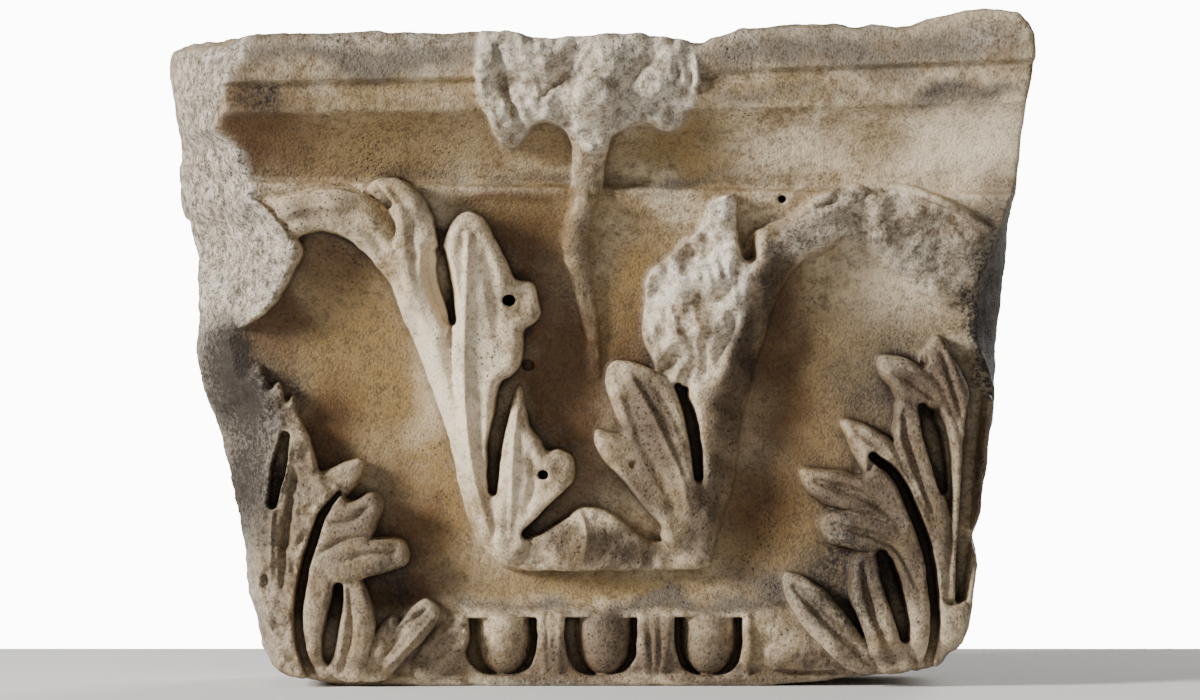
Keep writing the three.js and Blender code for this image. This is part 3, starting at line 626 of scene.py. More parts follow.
rightBody = {"path": [[196, 10, 13, 9], [197, 60, 13, 12], [201, 110, 11, 13], [206, 160, 9, 15],
    [206, 190, 7, 13]], "section": "flat", "joint": 3}
rightLeaf = {
    "topLobe": {
        "outline": [[198, 210.5], [192, 205], [188.5, 199], [190, 192], [196, 186], [200, 178],
            [204, 168], [209, 154], [215, 150], [218, 165], [216.5, 178], [212, 190], [207, 202],
            [203, 208]],
        "rises": [[198, 206, 22], [200, 194, 28], [208, 178, 30], [213, 158, 28]],
        "strokes": [[[201, 200, 2.5, 1.5], [206, 184, 3, 3], [212, 164, 2.5, 1.5]]],
    },
    "topTip": {
        "outline": [[163, 195], [165, 199], [171, 199], [180, 197], [189, 192], [197, 186], [205, 175],
            [200, 168], [190, 169.5], [182, 172], [176, 173], [171, 181], [165, 188]],
        "rises": [[167, 194, 25], [180, 188, 29], [194, 178, 30]],
        "strokes": [[[172, 189, 2.5, 1.5], [184, 183, 4, 4], [196, 174, 3, 2]]],
    },
    "upperStem": {
        "outline": [[176, 174], [184, 172.5], [189, 169], [190.5, 158], [194, 143], [199, 126],
            [203, 114], [206, 100], [206, 80], [206, 50], [200, 50], [199, 70], [193, 95], [183, 119],
            [176, 134], [173, 147], [173.5, 163]],
        "rises": [[181, 168, 28], [182, 145, 29], [190, 120, 28], [199, 95, 26], [203, 60, 22]],
        "strokes": [[[178, 166, 2.5, 1.5], [179.5, 150, 4, 5], [186, 130, 3.5, 4], [195, 106, 2.5, 2]]],
    },
    "middleTip": {
        "outline": [[141.5, 159], [148, 160], [157, 157], [168, 150], [174, 143], [181, 130], [191, 110],
            [199, 90], [203, 70], [204, 48], [198, 46], [197, 66], [192, 86], [184, 107], [174, 128],
            [161, 139.5], [156, 128], [150, 140], [145, 150]],
        "rises": [[146, 156, 23], [158, 150, 28], [172, 138, 29], [186, 112, 28], [198, 82, 25],
            [201, 52, 21]],
        "strokes": [[[148, 156, 2, 1], [157, 149, 3, 3], [168, 140, 2.5, 1.5]]],
    },
    "thirdLobe": {
        "outline": [[117, 127], [119, 131], [127, 131], [140, 129.5], [154, 127], [161, 138], [168, 130],
            [177, 118], [186, 99], [192, 80], [194, 60], [188, 60], [182, 84], [172, 97], [160, 103],
            [144, 106.5], [130, 111.5], [121, 119]],
        "rises": [[121, 126, 23], [136, 121, 27], [156, 116, 29], [174, 104, 28], [188, 76, 26]],
        "strokes": [[[126, 124, 3, 2.5], [142, 119.5, 5, 5], [158, 113, 4.5, 4], [176, 98, 3, 2]]],
    },
    "brokenLobe": {
        "outline": [[131, 103], [128.5, 97], [131, 91], [135, 87], [144, 84], [154, 82], [164, 80.5],
            [171.5, 78], [177.5, 62], [182.5, 38], [181, 26], [188, 14], [192, 22], [194, 40],
            [193.5, 62], [190, 80], [181, 93], [166, 102], [150, 106], [138, 106]],
        "rises": [[133, 96, 20], [146, 95, 26], [164, 92, 28], [180, 80, 27], [188, 56, 25],
            [188, 30, 20], [187, 16, 14]],
        "strokes": [[[142, 96, 2.5, 2], [158, 92, 3.5, 4], [174, 83, 3, 3], [185, 62, 2.5, 1.5]]],
    },
    "innerLobe": {
        "outline": [[157, 81], [150, 80], [147, 71], [146, 58], [149, 46], [154, 32], [163, 12], [170, 6],
            [182, 8], [184, 18], [180, 27], [175.5, 31], [169.5, 55], [163, 79]],
        "rises": [[154, 74, 24], [157, 55, 24], [166, 32, 21], [175, 14, 15]],
        "strokes": [[[154, 74, 2.5, 1.5], [157, 54, 4, 5], [165, 32, 3.5, 4], [172, 15, 2.5, 2]]],
    },
    "lowTip": {
        "outline": [[106, 66], [109, 69], [116, 67], [126, 61.5], [138, 50], [147, 39.5], [154, 30],
            [163, 15], [169, 7], [156, 7], [144, 11.5], [134, 20], [124, 30], [113, 44], [107, 57]],
        "rises": [[110, 64, 17], [122, 50, 20], [138, 34, 20], [154, 18, 16], [163, 9, 13]],
        "strokes": [[[113, 60, 3, 2.5], [125, 47, 4.5, 5.5], [141, 31, 4.5, 5], [157, 14, 3, 2.5]]],
    },
    "baseLobe": {
        "outline": [[199, 54], [206, 50], [212, 51], [216, 50], [216, 38], [211, 27], [204, 20],
            [198, 10], [193, 10], [196, 22], [199, 36]],
        "rises": [[205, 44, 19], [207, 32, 17], [200, 16, 12]],
    },
}
rightRibs = [
    {"path": [[201, 172, 3.6, 29], [207, 158, 4, 29], [210.5, 138, 4, 28], [210.5, 110, 4, 26],
        [209, 80, 4, 24], [207, 54, 4.2, 20]]},
    {"path": [[218, 44, 3, 14], [223, 90, 3.6, 15], [226, 130, 3.6, 16], [230, 172, 3.4, 14]],
     "section": "ridge"},
]
leafEdges = {"shoulder": 4.5, "drop": 3.2}
addBlade(rightBody)
for lobe in list(leftLeaf.values()) + list(rightLeaf.values()):
    addLobe({**leafEdges, **lobe})
for rib in rightRibs:
    addBlade(rib)
print("corner leaves raised")


# Drilled channels, slots and holes, each floor given above the ground

channels = [
    {"path": [[-165, 304, 2.6, 4], [-152, 304, 3.4, 2], [-142, 300, 3.4, 2], [-131, 290, 2.2, 6]]},
    {"path": [[-103, 262, 4, 14], [-101, 246, 6, 9], [-95, 222, 3, 12]], "flare": 0.25},
    {"path": [[-100, 262, 2.8, 2], [-97, 244, 3, 0], [-93, 220, 1.5, 1]]},
    {"path": [[-54, 187, 2, 0], [-62, 170, 3.2, 0], [-67, 150, 4, 0], [-68.5, 134, 3.4, 0],
        [-69, 118, 2.4, 1]]},
    {"path": [[-48, 92, 2.8, -1], [-39, 98.5, 4.4, -1], [-27, 109, 5.6, -1], [-12, 121, 6, 0]]},
    {"path": [[28, 95, 4.4, -1], [17, 105, 6, -1], [3, 121, 7, -1], [-4, 130, 5, 0]]},
    {"path": [[42.6, 181, 1.8, 1], [50, 164, 2.8, 0], [53.5, 145, 2.8, 0], [55, 126, 2, 1]]},
    {"path": [[80, 291, 4, 8], [83, 275, 4.6, 4], [85, 260, 2.4, 3]], "corner": 3, "flare": 0.2},
    {"path": [[-161, 117, 1.4, 6], [-171, 104, 2.1, 2], [-176.5, 89, 2.3, 0], [-182, 70, 2.4, 0],
        [-185, 52, 2.4, 0], [-185.5, 36, 2.4, 0], [-183, 20, 2.3, 0], [-176, 4, 2, 0]]},
    {"path": [[-193.5, 151, 2.6, 4], [-197, 134, 3.8, -1], [-201.5, 110, 2.4, 1]]},
    {"path": [[-206, 66, 1.5, 8], [-206.5, 60, 2.2, 7], [-205, 52, 1.6, 9]]},
    {"path": [[-161.5, 60, 2.3, 0], [-163, 48, 3.6, -2], [-166, 33, 3.7, -2], [-168.5, 20, 2.1, 0]]},
    {"path": [[159.5, 139, 1.6, 2], [174, 127, 2.2, 0], [184, 105.5, 2.4, 0], [191.5, 85.6, 2.4, 0],
        [195.5, 63.8, 2.4, 0], [197, 36, 2.4, 0], [193, 10, 2, 0]]},
    {"path": [[189.5, 168, 2.3, 2], [195.5, 152, 4.8, -1], [200, 132, 4, -1], [202.5, 118.5, 2.3, 1]]},
    {"path": [[165.5, 79.5, 2.8, 0], [170.5, 62, 4.2, -2], [175.5, 45, 3.6, -2], [178.7, 29.5, 2.3, 0]]},
    {"path": [[221, 186, 1.4, 6], [219, 165, 2.6, 2], [217, 130, 3.4, 0], [215.5, 95, 4, 0],
        [213.5, 70, 3.2, 0], [211.5, 53, 1.8, 2]]},
    {"path": [[205.5, 207.5, 1.8, 6], [209.5, 201, 3.2, 3], [214, 193, 1.8, 6]]},
    {"path": [[189, 203, 2.6, 8], [190.5, 195.5, 1.8, 10]]},
    {"path": [[-80, 5, 7, -3], [-73, 9, 6, 1], [-68, 3, 4.5, 2]], "corner": 4, "flare": 0.3},
]
holes = [  # [x, z, radius, floor]
    [-58.8, 232.8, 3.6, 0], [-48, 193.8, 3.4, -5], [-38.4, 127.8, 3.1, 0], [16, 134, 2.4, 17],
    [105, 293.4, 2.1, -16],
]
for channel in channels:
    cutChannel(channel)
for hole in holes:
    drill(hole)
print("channels drilled")


# The broken corners fall back from a ragged line on the face, as [z, x] from the top down

leftBreak = {
    "line": [[412, -196], [390, -207], [372, -218], [359, -227], [347, -229], [335, -235], [323, -217],
        [305, -211], [290, -207], [272, -192], [263, -186], [248, -190], [233, -199], [220, -214],
        [209, -228], [191, -224], [182, -212], [161, -196], [134, -205], [96, -214], [40, -208],
        [-6, -196]],
    "drop": [[-6, 12], [96, 16], [158, 34], [232, 30], [284, 46], [346, 30], [412, 22]],
    "face": [[0, 8], [160, 16], [205, 12], [232, 30], [262, 38], [290, 42], [306, 38], [330, 45],
        [366, 64], [412, 64]],
    "rough": 3.4, "facet": [24, 0.3, 71],
}
rightBreak = {
    "line": [[352, 251], [330, 247], [299, 244], [275, 235], [257, 227], [233, 221], [209, 219],
        [197, 226], [182, 233], [170, 238]],
    "drop": [[170, 4], [200, 20], [224, 30], [276, 34], [300, 24], [326, 12], [352, 4]],
    "face": [[170, 12], [200, 12], [250, 20], [299, 36], [352, 60]],
    "rough": 2.2, "facet": [18, 0.28, 72],
}


def breakOff(side, rows):
    lineZ, lineX = np.transpose(rows["line"][::-1])
    wholeSide = outline["left"] if side < 0 else outline["right"][::-1]
    sideX, sideZ = np.transpose(wholeSide[::-1])
    edgeX = np.interp(zs, lineZ, lineX)
    outside = np.interp(zs, sideZ, sideX) + side * 2
    face = readOff(rows["face"], zs)
    reach = np.maximum(np.abs(outside - edgeX), 4)
    steepness = (face + readOff(rows["drop"], zs)) / reach
    past = side * (gridX - edgeX)
    limit = face - past * steepness
    texture = rows["rough"] * roughNoise(gridX, gridZ, 26, 4, 77)
    spacing, tilt, seed = rows["facet"]
    widest = np.concatenate([edgeX, outside])
    place = window([[widest.min(), lineZ.min()], [widest.max(), lineZ.max()]], 10)
    texture[place] += facets(gridX[place], gridZ[place], spacing, tilt, seed)
    limit = limit + texture * easeStep(-6, 12, past)
    inRange = (gridZ > lineZ.min()) & (gridZ < lineZ.max())
    limit = np.where(inRange, limit, 400)
    slope = np.sqrt(1 + steepness**2)
    broken = (limit[place][:, :, None] - ds) / slope[None, place[1], None]
    field[place] = softMin(field[place], broken, 2.5)
    return np.where(inRange, np.clip(past, -20, 60), -20)


pastLeft = breakOff(-1, leftBreak)
pastRight = breakOff(1, rightBreak)
print("corners broken")


# Sides, top bed, flat back and flat foot

sides = {
    "leftRough": 3.5,
    "rightRough": 0.8,
    "topRough": 2.2,
    "topFrom": [330, 380],  # heights between which the wear of the top takes over
    "footFrom": [40, 8],  # and between which the foot straightens
    "flare": 0.00026,  # spread of the sides per millimetre of width and depth
    "flareFrom": [140, 200],  # distance from the middle at which it sets in
    "flareTop": [396, 378],
    "flareDepth": 75,
}


def trimToOutline():
    layerY, layerZ = np.meshgrid(ys, zs, indexing="ij")
    leftWear = np.abs(roughNoise(layerY, layerZ, 34, 4, 81)) * sides["leftRough"]
    rightWear = np.abs(roughNoise(layerY, layerZ, 30, 3, 82)) * sides["rightRough"]
    layerY, layerX = np.meshgrid(ys, xs, indexing="ij")
    topWear = np.abs(roughNoise(layerY, layerX, 30, 4, 83)) * sides["topRough"]
    wornEdge = edgeDistance + 0.5 * roughNoise(gridX, gridZ, 10, 3, 84)
    towardsBack = np.clip(ys + sides["flareDepth"], 0, sides["flareDepth"])
    for i, x in enumerate(xs):
        sideWear = leftWear if x < 0 else rightWear
        nearTop = easeStep(*sides["topFrom"], zs)[:, None]
        wear = sideWear.T * (1 - nearTop) + topWear[:, i][None, :] * nearTop
        nearFoot = easeStep(*sides["footFrom"], zs)[:, None]
        trimmed = wornEdge[i][:, None] - wear * (1 - nearFoot)
        spread = abs(x) * easeStep(*sides["flareFrom"], abs(x)) * sides["flare"] * towardsBack
        trimmed = trimmed + spread[None, :] * (1 - nearFoot) * easeStep(*sides["flareTop"], zs)[:, None]
        field[i] = softMin(field[i], trimmed, outline["arris"])
    np.minimum(field, (wallFace - ys)[None, None, :], out=field)
    np.minimum(field, zs[None, :, None] + 0 * ys, out=field)


trimToOutline()
rightReturn = {  # plain ground behind the other half of the right leaf
    "depth": 8.0,  # how far it lies behind the leaf
    "cuts": [[50, 40], [78, 26], [98, 50], [128, 38], [150, 54], [178, 46], [206, 50], [250, 44],
        [306, 40]],  # [height, reach forward from the back]
    "heights": [50, 304],
    "from": 150,
    "rough": 1.5,
}


def carveReturn():
    low, high = rightReturn["heights"]
    sideX, sideZ = np.transpose(outline["right"])
    faceX = np.interp(zs, sideZ, sideX)
    start = wallFace - readOff(rightReturn["cuts"], zs)
    layerZ, layerY = np.meshgrid(zs, ys, indexing="ij")
    inside = np.minimum(layerY - start[:, None], np.minimum(high - layerZ, layerZ - low))
    inside = inside + rightReturn["rough"] * roughNoise(layerZ, layerY, 16, 2, 86)
    right = xs > rightReturn["from"]
    depth = faceX[None, :, None] - rightReturn["depth"] - xs[right][:, None, None]
    stone = softMax(depth, -inside[None], 5)
    field[right] = softMin(field[right], stone.astype(np.float32), 3)


carveReturn()
print("outline trimmed")


# The surface of the sculpted field as one closed mesh of quads

def surfaceNet():
    inside = field > 0
    count = np.zeros([n - 1 for n in field.shape], np.uint8)
    corners = [(i, j, k) for i in (0, 1) for j in (0, 1) for k in (0, 1)]
    for i, j, k in corners:
        count += inside[i:i + count.shape[0], j:j + count.shape[1], k:k + count.shape[2]]
    active = (count > 0) & (count < 8)
    cells = np.argwhere(active)
    number = np.full(active.shape, -1, np.int32)
    number[active] = np.arange(len(cells), dtype=np.int32)
    axes = (xs, zs, ys)
    values = {c: field[tuple((cells + c).T)] for c in corners}
    total = np.zeros((len(cells), 3))
    hits = np.zeros(len(cells))
    for a in corners:
        for axis in range(3):
            if a[axis]:
                continue
            b = tuple(1 if n == axis else v for n, v in enumerate(a))
            crossing = (values[a] > 0) != (values[b] > 0)
            t = values[a][crossing] / (values[a][crossing] - values[b][crossing])
            for n in range(3):
                start = axes[n][cells[crossing, n] + a[n]]
                end = axes[n][cells[crossing, n] + b[n]]
                total[crossing, n] += start + (end - start) * t
            hits[crossing] += 1
    points = total / hits[:, None]
    quads = []
    for axis in range(3):
        side1, side2 = (axis + 1) % 3, (axis + 2) % 3
        near = [slice(1, -1)] * 3
        near[axis] = slice(0, -1)
        far = list(near)
        far[axis] = slice(1, None)
        starts, ends = inside[tuple(near)], inside[tuple(far)]
        for leaving in (True, False):
            edges = np.argwhere((starts != ends) & (starts == leaving))
            offset = np.ones(3, int)
            offset[axis] = 0
            base = edges + offset
            ring = []
            for step1, step2 in ((0, 0), (1, 0), (1, 1), (0, 1)):
                spot = base.copy()
                spot[:, side1] -= step1
                spot[:, side2] -= step2
                ring.append(number[tuple(spot.T)])
            quad = np.stack(ring, 1)
            quads.append(quad if leaving else quad[:, ::-1])
    quads = np.concatenate(quads)
    points = points[:, [0, 2, 1]]  # from x, z, y to x, y, z
    a, b, c = points[quads[:, 0]], points[quads[:, 1]], points[quads[:, 2]]
    if np.einsum("ij,ij->", a, np.cross(b, c)) < 0:
        quads = quads[:, ::-1]
    return points, quads


points, quads = surfaceNet()
print("surface", len(points), "points", len(quads), "quads")


def meshFrom(name, points, faces):
    mesh = bpy.data.meshes.new(name)
    mesh.vertices.add(len(points))
    mesh.vertices.foreach_set("co", (points * mm).astype(np.float32).ravel())
    sides = faces.shape[1]
    mesh.loops.add(len(faces) * sides)
    mesh.loops.foreach_set("vertex_index", faces.astype(np.int32).ravel())
    mesh.polygons.add(len(faces))
    mesh.polygons.foreach_set("loop_start", np.arange(0, len(faces) * sides, sides, dtype=np.int32))
    mesh.update(calc_edges=True)
    mesh.validate()
    return mesh


def meshPoints(mesh):
    values = np.empty(len(mesh.vertices) * 3, np.float32)
    mesh.vertices.foreach_get("co", values)
    return values.reshape(-1, 3).astype(float) / mm


def giveAttribute(mesh, name, values):
    layer = mesh.attributes.new(name, "FLOAT", "POINT")
    layer.data.foreach_set("value", np.asarray(values, np.float32))


# Where the surface is broken, lies in a recess for painted shade, or stands out as a crest for wear and a
# painted highlight, from the sculpted heights

def frontHeights():
    inside = field > 0
    first = np.argmax(inside, axis=2)
    filled = inside.any(axis=2)
    i, j = np.indices(first.shape)
    before = np.maximum(first - 1, 0)
    a, b = field[i, j, before], field[i, j, first]
    t = np.where(b != a, -a / np.where(b != a, b - a, 1), 0)
    heights = ds[before] + (ds[first] - ds[before]) * np.clip(t, 0, 1)
    return np.where(filled, heights, -60).astype(np.float32)


heightMap = frontHeights()
nearHeights = blur(heightMap, 4)
wideHeights = blur(heightMap, 14)


def shapeMask(shape, softness=3):
    points = splineThrough(shape["outline"], 3, closed=True)
    return easeStep(-softness, softness, insideDistance(points, gridX, gridZ))


breaks = {
    "white": [0.3, 0.85],  # how fresh the break over the right stalk is, below and above
    "whiteFrom": [200, 252],
    "flower": [0.6, 0.4],  # how fresh and how broken the flower's stump is
    "scar": 0.6,
}
whiteLow, whiteHigh = breaks["white"]
flowerFresh, flowerBroken = breaks["flower"]
flowerMask = shapeMask(flowerStump)
whiteShare = whiteLow + (whiteHigh - whiteLow) * easeStep(*breaks["whiteFrom"], gridZ)
freshMap = np.maximum(shapeMask(whiteBreak) * whiteShare, flowerMask * flowerFresh)
leafBreak = easeStep(-196, -206, gridX) * easeStep(92, 130, gridZ) * easeStep(196, 186, gridZ)
cornerBreaks = np.maximum(easeStep(-4, 6, pastLeft), easeStep(-3, 4, pastRight))
fractureMap = np.maximum.reduce([cornerBreaks, leafBreak, shapeMask(hornScar, 5) * breaks["scar"],
                                 flowerMask * flowerBroken])
print("masks ready")


# Small class that turns Python expressions into shader or geometry nodes

class Signal:
    def __init__(self, wiring, socket):
        self.wiring = wiring
        self.socket = socket

    def mix(self, operation, other, swap=False):
        first, second = (other, self) if swap else (self, other)
        return self.wiring.add("ShaderNodeMath", {"operation": operation}, {0: first, 1: second})

    def __add__(self, other):
        return self.mix("ADD", other)

    def __radd__(self, other):
        return self.mix("ADD", other)

    def __sub__(self, other):
        return self.mix("SUBTRACT", other)

    def __rsub__(self, other):
        return self.mix("SUBTRACT", other, swap=True)

    def __mul__(self, other):
        return self.mix("MULTIPLY", other)

    def __rmul__(self, other):
        return self.mix("MULTIPLY", other)

    def larger(self, other):
        return self.mix("MAXIMUM", other)

    def limited(self):
        return self.wiring.add("ShaderNodeClamp", {}, {"Value": self})

    def between(self, low, high):
        # 0 at low and 1 at high, eased
        return self.wiring.add("ShaderNodeMapRange", {"interpolation_type": "SMOOTHSTEP"},
                               {"Value": self, "From Min": low, "From Max": high})


class Wiring:
    def __init__(self, tree):
        self.tree = tree

    def add(self, kind, settings=None, values=None, output=0):
        node = self.tree.nodes.new(kind)
        for key, setting in (settings or {}).items():
            setattr(node, key, setting)
        for key, value in (values or {}).items():
            if isinstance(value, Signal):
                self.tree.links.new(value.socket, node.inputs[key])
            else:
                node.inputs[key].default_value = value
        return Signal(self, node.outputs[output]) if node.outputs else None

    def colour(self, factor, low, high, blend="MIX"):
        settings = {"data_type": "RGBA", "blend_type": blend}
        return self.add("ShaderNodeMix", settings, {0: factor, 6: low, 7: high}, output=2)

    def attribute(self, name):
        settings = {"attribute_type": "GEOMETRY", "attribute_name": name}
        return self.add("ShaderNodeAttribute", settings, output=2)

    def noise(self, place, scale, detail=3, roughness=0.55):
        return self.add("ShaderNodeTexNoise", {}, {"Vector": place, "Scale": scale, "Detail": detail,
                        "Roughness": roughness})


# Weathering of the carved surface, as a Geometry Nodes tree with named inputs

weathering = {
    "Waviness": 0.5 * mm,  # old tool marks and softening
    "Wave Scale": 48.0,
    "Grain": 0.2 * mm,  # crystals standing out of the worn face
    "Grain Scale": 420.0,
    "Break Roughness": 0.5 * mm,
    "Break Scale": 300.0,
    "Pit Depth": 1.0 * mm,
    "Pit Scale": 210.0,
    "Seed": 7.0,
}


def weatheringTree(stoneMaterial):
    tree = bpy.data.node_groups.new("stoneWeathering", "GeometryNodeTree")
    sockets = tree.interface
    sockets.new_socket("Geometry", in_out="INPUT", socket_type="NodeSocketGeometry")
    for name in weathering:
        sockets.new_socket(name, in_out="INPUT", socket_type="NodeSocketFloat")
    sockets.new_socket("Geometry", in_out="OUTPUT", socket_type="NodeSocketGeometry")
    wiring = Wiring(tree)
    entry = tree.nodes.new("NodeGroupInput")
    given = {socket.name: Signal(wiring, socket) for socket in entry.outputs}
    place = wiring.add("GeometryNodeInputPosition")
    normal = wiring.add("GeometryNodeInputNormal")

    def stored(name):
        return wiring.add("GeometryNodeInputNamedAttribute", {"data_type": "FLOAT"}, {"Name": name})

    def noise(scale, detail, roughness):
        settings = {"noise_dimensions": "4D"}
        return wiring.add("ShaderNodeTexNoise", settings, {"Vector": place, "W": given["Seed"],
                          "Scale": scale, "Detail": detail, "Roughness": roughness}) - 0.5

    waves = noise(given["Wave Scale"], 2.0, 0.5) * 2 * given["Waviness"]
    grain = noise(given["Grain Scale"], 2.0, 0.6) * 2 * given["Grain"]
    crystals = noise(given["Break Scale"], 4.0, 0.7) * 3 * given["Break Roughness"] * stored("broken")
    pits = wiring.add("ShaderNodeTexVoronoi", {"voronoi_dimensions": "4D"}, {"Vector": place,
                      "W": given["Seed"], "Scale": given["Pit Scale"]})
    pitted = (1 - pits.between(0.05, 0.3)) * noise(60.0, 1.0, 0.5).between(0.02, 0.18)
    lift = (waves + grain + crystals - pitted * given["Pit Depth"]) * stored("carved")
    offset = wiring.add("ShaderNodeVectorMath", {"operation": "SCALE"}, {0: normal, "Scale": lift})
    moved = wiring.add("GeometryNodeSetPosition", {}, {"Geometry": given["Geometry"], "Offset": offset})
    real = wiring.add("GeometryNodeRealizeInstances", {}, {"Geometry": moved})
    dressed = wiring.add("GeometryNodeSetMaterial", {}, {"Geometry": real, "Material": stoneMaterial})
    wiring.add("NodeGroupOutput", {}, {0: dressed})
    return tree


# Old marble: cream crystals under ochre and umber stains, grey crust, white breaks, with soot and painted
# shade in recesses and beside raised parts, and painted light on lit faces and crests

marbleFinish = {
    "cream": (0.33, 0.235, 0.128, 1),
    "cleanAndLitCream": (0.86, 0.725, 0.525, 1),
    "paleCream": (0.68, 0.56, 0.385, 1),
    "ochre": (0.268, 0.172, 0.060, 1),
    "umber": (0.112, 0.051, 0.014, 1),
    "brownFilm": (0.088, 0.054, 0.031, 1),
    "shadowDirt": (0.026, 0.012, 0.004, 1),
    "greyCrust": (0.14, 0.118, 0.095, 1),
    "sootAndShadow": (0.030, 0.021, 0.014, 1),
    "freshWhite": (0.80, 0.73, 0.615, 1),
    "breakPale": (0.60, 0.535, 0.44, 1),
    "breakGrey": (0.17, 0.138, 0.102, 1),
    "speck": (0.035, 0.024, 0.016, 1),
    "grime": (0.060, 0.042, 0.028, 1),
    "dusk": (0.44, 0.41, 0.38, 1),
    "day": (1.0, 1.0, 1.0, 1),
}
marbleGrain = {"wide": 9, "middle": 38, "fine": 170, "grain": 620, "crumbs": 330, "specks": 300}


def stoneMaterial():
    material = bpy.data.materials.new("weatheredMarble")
    material.use_nodes = True
    material.node_tree.nodes.clear()
    wiring = Wiring(material.node_tree)
    paint = marbleFinish
    place = wiring.add("ShaderNodeTexCoord", output=3)
    wide = wiring.noise(place, marbleGrain["wide"], 3)
    middle = wiring.noise(place, marbleGrain["middle"], 4, 0.6)
    fine = wiring.noise(place, marbleGrain["fine"], 4, 0.65)
    grain = wiring.noise(place, marbleGrain["grain"], 2, 0.6)
    crumbs = wiring.noise(place, marbleGrain["crumbs"], 4, 0.75)
    ochre, umber = wiring.attribute("ochre"), wiring.attribute("umber")
    sootAndShadow, crust = wiring.attribute("sootAndShadow"), wiring.attribute("crust")
    paleAndLit, film = wiring.attribute("paleAndLit"), wiring.attribute("film")
    broken, fresh = wiring.attribute("broken"), wiring.attribute("fresh")
    recessShade, edge = wiring.attribute("recessShade"), wiring.attribute("edge")
    drift = (wide - 0.5) * 1.1 + (middle - 0.5) * 1.7 + (fine - 0.5) * 1.2

    # Each layer covers the ones before it, where its amount and the drift of the noise let it
    def layer(amount, colour, name, unevenness, most):
        share = (amount * 1.15 + drift * amount * unevenness).limited() * most
        return wiring.colour(share, colour, paint[name])

    mottle = (middle * 0.7 + fine * 0.3).between(0.36, 0.64)
    colour = wiring.colour(mottle, paint["cream"], paint["paleCream"])
    # Paler where the stone is clean, and painted light on faces turned to the lamp
    colour = layer(paleAndLit, colour, "cleanAndLitCream", 0.7, 1.0)
    colour = layer(ochre, colour, "ochre", 0.9, 0.95)
    colour = layer(umber, colour, "umber", 0.9, 0.95)
    colour = layer(crust, colour, "greyCrust", 1.5, 0.85)
    colour = layer(film, colour, "brownFilm", 1.4, 0.85)
    # Crests paler: rubbed wear, and a painted highlight
    rubbedAndLitCrest = (edge * (0.7 + drift) - film * 0.8).limited() * 0.5
    colour = wiring.colour(rubbedAndLitCrest, colour, paint["paleCream"])
    breakGrain = (fine * 0.5 + grain * 0.25 + middle * 0.25).between(0.34, 0.62)
    breakTone = wiring.colour(breakGrain, paint["breakGrey"], paint["breakPale"])
    breakTone = wiring.colour((1 - crumbs.between(0.36, 0.50)) * 0.75, breakTone, paint["speck"])
    colour = wiring.colour((broken * (0.95 + drift * 0.5)).limited(), colour, breakTone)
    whiteGrain = (fine * 0.5 + middle * 0.5).between(0.30, 0.56)
    whiteTone = wiring.colour(whiteGrain, paint["cream"], paint["freshWhite"])
    colour = wiring.colour((fresh * (0.9 + drift * 0.5)).limited(), colour, whiteTone)
    # Soot, and painted shadow: on the deep ground beside the leaves, below the break at the abacus's left
    # end and on the right side turned from the light
    sootAndShadowShare = sootAndShadow * (0.45 + 0.65 * crumbs.between(0.40, 0.60))
    colour = layer(sootAndShadowShare, colour, "sootAndShadow", 1.2, 0.98)
    # Painted shade in recesses, in the shadowDirt colour
    colour = layer(recessShade, colour, "shadowDirt", 0.9, 0.93)
    specks = wiring.add("ShaderNodeTexVoronoi", {}, {"Vector": place, "Scale": marbleGrain["specks"]})
    speckled = (1 - specks.between(0.06, 0.30)) * wide.between(0.46, 0.64) * middle.between(0.45, 0.60)
    pitted = (1 - specks.between(0.10, 0.42)) * crumbs.between(0.44, 0.56) * film.limited()
    speckled = speckled.larger(pitted)
    colour = wiring.colour(speckled * 0.85, colour, paint["speck"])
    grime = crumbs.between(0.54, 0.72) * (middle * 0.6 + wide * 0.4).between(0.36, 0.60)
    colour = wiring.colour(grime * 0.55, colour, paint["grime"])
    # Random grain tone, a little lighter where clean stone and painted light are given
    sparkle = (grain * 0.5 + fine * 0.5 + paleAndLit * 0.07).between(0.32, 0.60)
    shade = wiring.colour(sparkle, paint["dusk"], paint["day"])
    colour = wiring.colour(1.0, colour, shade, "MULTIPLY")

    relief = grain * 0.7 + fine * 0.5 - speckled * 0.7 - grime * 0.25 + crumbs * broken * 1.0
    bump = wiring.add("ShaderNodeBump", {}, {"Strength": 0.7, "Distance": 0.0014, "Height": relief})
    rough = (0.60 + (fine - 0.5) * 0.4 + broken * 0.12).limited()
    shader = wiring.add("ShaderNodeBsdfPrincipled", {}, {"Base Color": colour, "Roughness": rough,
                        "Normal": bump, "IOR": 1.5, "Specular IOR Level": 0.35})
    wiring.add("ShaderNodeOutputMaterial", {}, {"Surface": shader})
    return material


marble = stoneMaterial()
